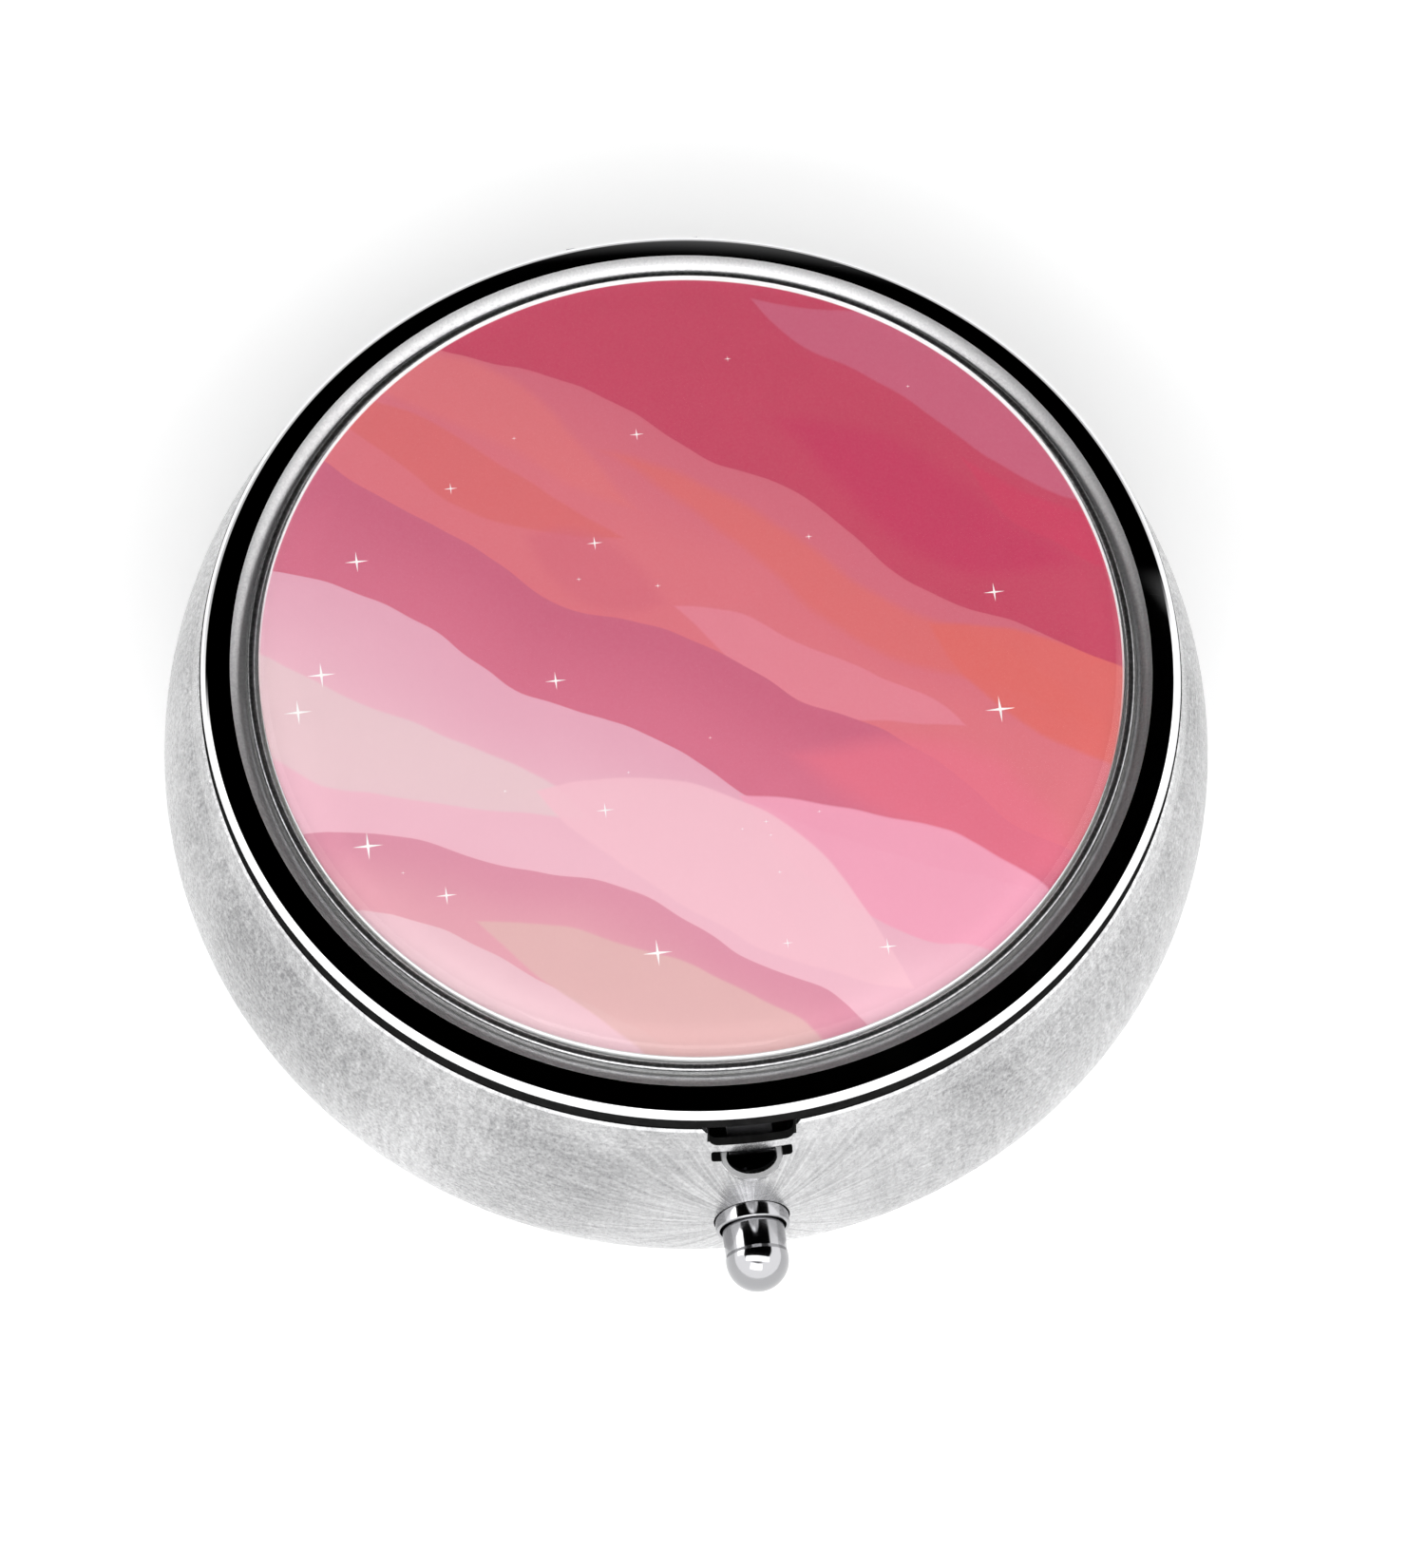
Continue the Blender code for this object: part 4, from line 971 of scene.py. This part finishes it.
def makeSparkTree():
    # small four-pointed glints scattered over the print
    tree, w, given, out = startTree("sparks", {
        "Count": 30, "Radius": 0.019, "Level": 0.016, "Largest": 0.0007, "Thickness": 0.00001, "Seed": 4})
    star = w.build("GeometryNodeCurveStar", {"Points": 4, "Inner Radius": 0.13, "Outer Radius": 1.0})
    fill = w.build("GeometryNodeFillCurve", {0: star}, mode="NGONS")
    turn = w.chance(0.0, 2 * math.pi, given["Seed"])
    reach = w.chance(0.02, 1.0, w.add(given["Seed"], 1.0))
    size = w.chance(0.0, 1.0, w.add(given["Seed"], 2.0))
    away = w.times(w.calc("SQRT", reach), given["Radius"])
    spot = w.join(w.times(away, w.calc("COSINE", turn)), w.times(away, w.calc("SINE", turn)), given["Level"])
    points = w.build("GeometryNodePoints", {"Count": given["Count"], "Position": spot})
    grown = w.calc("MULTIPLY_ADD", w.calc("POWER", size, 1.6), 0.88, 0.12)
    put = w.build("GeometryNodeInstanceOnPoints", {
        "Points": points, "Instance": fill, "Scale": w.times(grown, given["Largest"])})
    real = w.build("GeometryNodeRealizeInstances", {0: put})
    raised = w.build("GeometryNodeExtrudeMesh", {
        "Mesh": real, "Offset": w.join(z=given["Thickness"]), "Offset Scale": 1.0, "Individual": False},
        mode="FACES")
    both = w.node("GeometryNodeJoinGeometry")
    w.feed(both, {0: raised})
    w.feed(both, {0: w.build("GeometryNodeFlipFaces", {0: real})})
    merged = w.build("GeometryNodeMergeByDistance", {"Geometry": both.outputs[0], "Distance": 1e-7})
    finishTree(w, merged, sparkInk, out)
    return tree


def makeWeldTree():
    # a row of low round weld marks along X
    tree, w, given, out = startTree("weldMarks", {
        "Count": 2, "Spacing": 0.003, "Radius": 0.0004, "Flatness": 0.2, "Place": (0, 0, 0),
        "Facing": (0, 0, 0)})
    start = w.times(w.minus(given["Count"], 1.0), w.times(given["Spacing"], -0.5))
    line = w.build("GeometryNodeMeshLine", {
        "Count": given["Count"], "Offset": w.join(given["Spacing"]), "Start Location": w.join(start)},
        mode="OFFSET")
    ball = w.build("GeometryNodeMeshUVSphere", {"Segments": 24, "Rings": 14, "Radius": given["Radius"]})
    put = w.build("GeometryNodeInstanceOnPoints", {
        "Points": line, "Instance": ball, "Rotation": given["Facing"],
        "Scale": w.join(1.0, 1.0, given["Flatness"])})
    moved = w.build("GeometryNodeTransform", {"Geometry": put, "Translation": given["Place"]})
    finishTree(w, moved, pinSteel, out)
    return tree


ringValues = {"Rounding": 0.14 * mm, "Segments": 384}
ringFit = {"play": 0.15, "drop": 0.12}
sparkValues = {"Count": 30, "Largest": 0.72 * mm, "Thickness": 0.012 * mm, "Seed": 11}
weldValues = {"Radius": 0.3 * mm, "Flatness": 0.25}
weldFit = {"lidInset": 0.55, "lidDrop": 0.24, "baseRise": 0.45}


def makeTreePieces():
    inner = printRadius + ringFit["play"]
    outer = (ringHigh.x - ringLow.x) / 2
    drop = ringFit["drop"]
    ring = runTree("retainingRing", makeRingTree(), {
        "Radius": (inner + outer) / 2 * mm, "Width": (outer - inner) * mm,
        "Height": (ringHigh.z - ringLow.z - drop) * mm,
        "Level": ((ringHigh.z + ringLow.z - drop) / 2) * mm, **ringValues})
    tidyMesh(ring.data)
    place(ring, "lid", "milled_ring", turnedRing, "retaining_ring")
    sparks = runTree("printSparks", makeSparkTree(), {
        "Radius": (printRadius - 1.2) * mm, "Level": (discHigh.z + 0.004) * mm, **sparkValues})
    sparks.data.shade_flat()
    place(sparks, "lid", "printed_disc", sparkInk)
    weldTree = makeWeldTree()
    for name, body, values in (
        ("lidWelds", "lid", {"Count": 3, "Spacing": 1.7 * mm, "Facing": (0.0, 0.0, 0.0),
                             "Place": Vector((0, lidLeafLow.y + weldFit["lidInset"],
                                              lidLeafHigh.z - weldFit["lidDrop"])) * mm}),
        ("baseWelds", "base", {"Count": 4, "Spacing": 1.6 * mm, "Facing": (math.pi / 2, 0.0, 0.0),
                               "Place": Vector((0, baseLeafLow.y,
                                                baseLeafLow.z + weldFit["baseRise"])) * mm}),
    ):
        welds = runTree(name, weldTree, {**weldValues, **values})
        welds.data.shade_smooth()
        place(welds, body, "satin_steel", pinSteel)


hingeShape = {"barrel": 0.7, "sheet": 0.24, "middle": 3.2, "gap": 0.15}


def rolledSheet(name, centreline, half):
    # a strip of sheet that follows a (y, z) path, as wide as two halves along X
    sheet = hingeShape["sheet"]
    outline = sidestep(centreline, sheet / 2) + list(reversed(sidestep(centreline, -sheet / 2)))
    return slab(name, outline, -half, half, "X")


def makeHinge():
    sheet, barrel = hingeShape["sheet"], hingeShape["barrel"]
    roll = barrel - sheet / 2
    width = (baseLeafHigh.x - baseLeafLow.x) / 2
    leafY = hingeY - roll
    down = [(leafY, baseLeafLow.z), (leafY, hingeZ)]
    down += arcPath((hingeY, hingeZ), roll, 180, -128, 40)[1:]
    base = rolledSheet("baseHingeLeaf", down, width)
    half = hingeShape["middle"] / 2 + hingeShape["gap"]
    reach = barrel + 0.2
    carve(base, block("middleGap", (-half, hingeY - reach, hingeZ - reach),
                      (half, hingeY + reach, hingeZ + reach)))
    settle(base)
    soften(base, 0.04)
    settle(base)
    place(base, "base", "satin_steel", insideSteel, "base_hinge_leaf")

    flangeZ = lidLeafHigh.z - sheet / 2
    up = [(lidLeafLow.y, flangeZ), (lidLeafLow.y + 0.5, flangeZ), (leafY - 0.25, flangeZ)]
    up += arcPath((leafY - 0.25, flangeZ - 0.25), 0.25, 90, 0, 6)[1:]
    up += [(leafY, hingeZ)] + arcPath((hingeY, hingeZ), roll, 180, 488, 40)[1:]
    lid = rolledSheet("lidHingeLeaf", up, hingeShape["middle"] / 2)
    wing = (lidLeafHigh.x - lidLeafLow.x) / 2
    outline = rounded([(-wing, lidLeafLow.y, 0.3), (wing, lidLeafLow.y, 0.3), (wing, leafY - 0.12, 0.1),
                       (-wing, leafY - 0.12, 0.1)], closed=True)
    carve(lid, slab("wings", outline, flangeZ - sheet / 2 + 0.003, flangeZ + sheet / 2 - 0.003), "UNION")
    settle(lid)
    soften(lid, 0.035)
    settle(lid)
    place(lid, "lid", "satin_steel", insideSteel, "lid_hinge_leaf")

    length = pinHigh.x - pinLow.x
    radius = (pinHigh.z - pinLow.z) / 2
    path = rounded([(0, length / 2), (radius * 0.8, length / 2, 0.1), (radius, length / 2 - 0.12, 0.08),
                    (radius, 0.12 - length / 2, 0.08), (radius * 0.8, -length / 2, 0.1), (0, -length / 2)])
    pin = lathe("hingePin", path, segments=64, closed=False)
    lieAlongX = Matrix.Rotation(math.pi / 2, 4, "Y")
    pin.data.transform(Matrix.Translation(Vector((0, hingeY, hingeZ)) * mm) @ lieAlongX)
    place(pin, "base", "pin_steel", pinSteel, "hinge_pin")


tongueShape = {"sheet": 0.3, "noseHalf": 1.05, "nosePlay": 0.1, "noseRise": 0.25, "noseFoot": 0.8}


def makeTongue():
    half = (tongueHigh.x - tongueLow.x) / 2
    back, face = tongueHigh.y, tongueHigh.y - tongueShape["sheet"]
    corner = half * 0.45
    outline = rounded([(-half, tongueHigh.z, 0.1), (-half, tongueLow.z, corner), (half, tongueLow.z, corner),
                       (half, tongueHigh.z, 0.1)], closed=True, steps=8)
    blade = slab("latchTongue", outline, face, back, "Y")
    noseTop = slotTop - tongueShape["nosePlay"]
    noseEdge = noseTop - tongueShape["noseRise"]
    tip = tongueLow.y
    noseFoot = noseEdge - tongueShape["noseFoot"]
    root = back - tongueShape["sheet"] / 2
    wedge = [(root, noseTop), (tip, noseTop), (tip, noseEdge), (face, noseFoot), (root, noseFoot)]
    carve(blade, slab("nose", wedge, -tongueShape["noseHalf"], tongueShape["noseHalf"], "X"), "UNION")
    settle(blade)
    soften(blade, 0.04)
    settle(blade)
    place(blade, "latch", "spring_steel", springSteel, "latch_tongue")


trayShape = {"wall": 0.8, "floor": 0.8, "hub": 2.2, "chamfer": 0.9, "count": 3, "corner": 1.1,
             "hubRound": 0.5}


def makeTray():
    radius = (trayHigh.x - trayLow.x) / 2
    front = trayLow.y
    wall, floor = trayShape["wall"], trayShape["floor"]
    body = rounded([(0, trayHigh.z), (radius, trayHigh.z, 0.25), (radius, trayLow.z, trayShape["chamfer"]),
                    (0, trayLow.z)])
    tray = lathe("compartmentTray", body, segments=240, closed=False)
    far = radius + 1
    carve(tray, block("trayFront", (-far, -far, trayLow.z - 1), (far, front, trayHigh.z + 1)))
    middle = 180 / trayShape["count"]
    for k in range(trayShape["count"]):
        outline = compartment(-90 + k * 360 / trayShape["count"], middle, radius - wall, front + wall)
        pocket = slab(f"pocket{k + 1}", outline, trayLow.z + floor, trayHigh.z + 1)
        soften(pocket, 0.7, 4, 60)
        settle(pocket)
        carve(tray, pocket)
    settle(tray)
    soften(tray, 0.16, 3, 50)
    settle(tray, 60)
    place(tray, "base", "white_plastic", whitePlastic, "compartment_tray")


def compartment(direction, middle, radius, front):
    # a sector between two dividers with rounded corners and its point cut back by the hub
    side = trayShape["wall"] / 2
    hub = trayShape["hub"] + side
    corners = []
    turn = middle - math.degrees(math.asin(side / radius))
    for k in range(29):
        a = math.radians(direction - turn + 2 * turn * k / 28)
        size = trayShape["corner"] if k in (0, 28) else 0
        corners.append((radius * math.cos(a), radius * math.sin(a), size))
    turn = middle - math.degrees(math.asin(side / hub))
    for angle in (turn, 0, -turn):
        a = math.radians(direction + angle)
        corners.append((hub * math.cos(a), hub * math.sin(a), trayShape["hubRound"]))
    kept = []
    reach = math.sqrt(radius**2 - front**2)
    for here, after in zip(corners, corners[1:] + corners[:1]):
        if here[1] > front:
            kept.append(here)
        if (here[1] > front) != (after[1] > front):
            kept.append((math.copysign(reach, here[0]), front, trayShape["corner"]))
    kept = [c if len(c) > 2 and c[2] else c[:2] for c in kept]
    return rounded(kept, closed=True, steps=6)


makeCup()
print("cup made")
makeButton()
makeFerrule()
makeLid()
makePrintStack()
print("lid and button made")
makeTreePieces()
makeHinge()
makeTongue()
makeTray()
print("hinge, tongue and tray made")


studio = {
    "floorColour": (0.93, 0.93, 0.93, 1),
    "floorSize": 12.0,
    "floorGlow": 0.36,
    "centre": (0, 0, 10),
    "lowGlow": 1.45,
    "backShare": 0.45,
    "tentGlow": 2.1,
    "cards": [
        # azimuth, elevation, distance, width, height, power, only on the button
        ("frontCard", -14, 42, 420, 300, 160, 0.5, False),
        ("streakCard", -118, 27, 420, 240, 200, 0.6, True),
        ("crownCard", -10, 72, 420, 760, 150, 1.4, True),
    ],
}


def makeFloor():
    half = studio["floorSize"] / 2
    mesh = bpy.data.meshes.new("floor")
    corners = [(-half, -half, 0), (half, -half, 0), (half, half, 0), (-half, half, 0)]
    mesh.from_pydata(corners, [], [(0, 1, 2, 3)])
    floor = newPiece("floor", mesh)
    material, w, shader, position = startMaterial("floorPaper", studio["floorColour"], 0.0, 0.9)
    paper = w.blend(w.noise(position, 900.0), (0.92, 0.92, 0.92, 1), (0.94, 0.94, 0.94, 1))
    w.feed(shader, {"Specular IOR Level": 0.0, "Base Color": paper, "Emission Color": (1, 1, 1, 1),
                    "Emission Strength": studio["floorGlow"]})
    mesh.materials.append(material)


def makeCards():
    lit = bpy.data.collections.new("litAlone")
    for name in ("pushButton", "buttonFerrule"):
        lit.objects.link(bpy.data.objects[name])
    for name, azimuth, elevation, distance, width, height, power, alone in studio["cards"]:
        a, e = math.radians(azimuth), math.radians(elevation)
        out = Vector((math.sin(a) * math.cos(e), -math.cos(a) * math.cos(e), math.sin(e)))
        lamp = bpy.data.lights.new(name, "AREA")
        lamp.shape = "RECTANGLE"
        lamp.size, lamp.size_y = width * mm, height * mm
        lamp.energy = power
        card = bpy.data.objects.new(name, lamp)
        bpy.context.scene.collection.objects.link(card)
        card.location = (Vector(studio["centre"]) + out * distance) * mm
        card.rotation_euler = out.to_track_quat("Z", "Y").to_euler()
        if alone:
            card.light_linking.receiver_collection = lit


def makeWorld():
    # a pale light tent in front, low at the sides and dark above and behind, for the polished metal to mirror
    world = bpy.data.worlds.new("studio")
    world.use_nodes = True
    bpy.context.scene.world = world
    w = Wires(world.node_tree)
    sky = w.node("ShaderNodeTexCoord").outputs["Generated"]
    towardsBack, rise = w.split(sky)[1:]
    low = w.remap(rise, 0.24, 0.36, studio["lowGlow"], 0.0, True)
    low = w.times(low, w.remap(towardsBack, 0.4, 0.7, 1.0, studio["backShare"], True))
    top = w.remap(towardsBack, -0.4, 0.4, 0.87, 0.56)
    tent = w.remap(w.minus(rise, top), -0.05, 0.02, studio["tentGlow"], 0.0, True)
    tent = w.times(tent, w.remap(towardsBack, 0.34, 0.5, 1.0, 0.0, True))
    bright = w.calc("MAXIMUM", low, tent)
    glow = w.build("ShaderNodeCombineColor", {0: bright, 1: bright, 2: bright})
    w.feed(world.node_tree.nodes["Background"], {"Color": glow})


camera = {"azimuth": -10.5, "elevation": 65.0, "roll": 3.87, "distance": 350, "shiftBack": (-1.42, -0.99),
          "lens": 165.0}


def makeCamera():
    a, e, roll = (math.radians(camera[key]) for key in ("azimuth", "elevation", "roll"))
    ahead = Vector((-math.sin(a) * math.cos(e), math.cos(a) * math.cos(e), -math.sin(e)))
    level = Vector((math.cos(a), math.sin(a), 0))
    rise = level.cross(ahead)
    across = level * math.cos(roll) + rise * math.sin(roll)
    up = rise * math.cos(roll) - level * math.sin(roll)
    lens = bpy.data.cameras.new("camera")
    lens.lens = camera["lens"]
    lens.sensor_width = 36
    lens.clip_start = 0.01
    eye = bpy.data.objects.new("camera", lens)
    bpy.context.scene.collection.objects.link(eye)
    stand = -ahead * camera["distance"] - across * camera["shiftBack"][0] - up * camera["shiftBack"][1]
    eye.matrix_world = Matrix.Translation(stand * mm) @ Matrix((across, up, -ahead)).transposed().to_4x4()
    bpy.context.scene.camera = eye


makeFloor()
makeCards()
makeWorld()
makeCamera()
bpy.context.scene.view_settings.view_transform = "Standard"
print("floor, light and camera made")
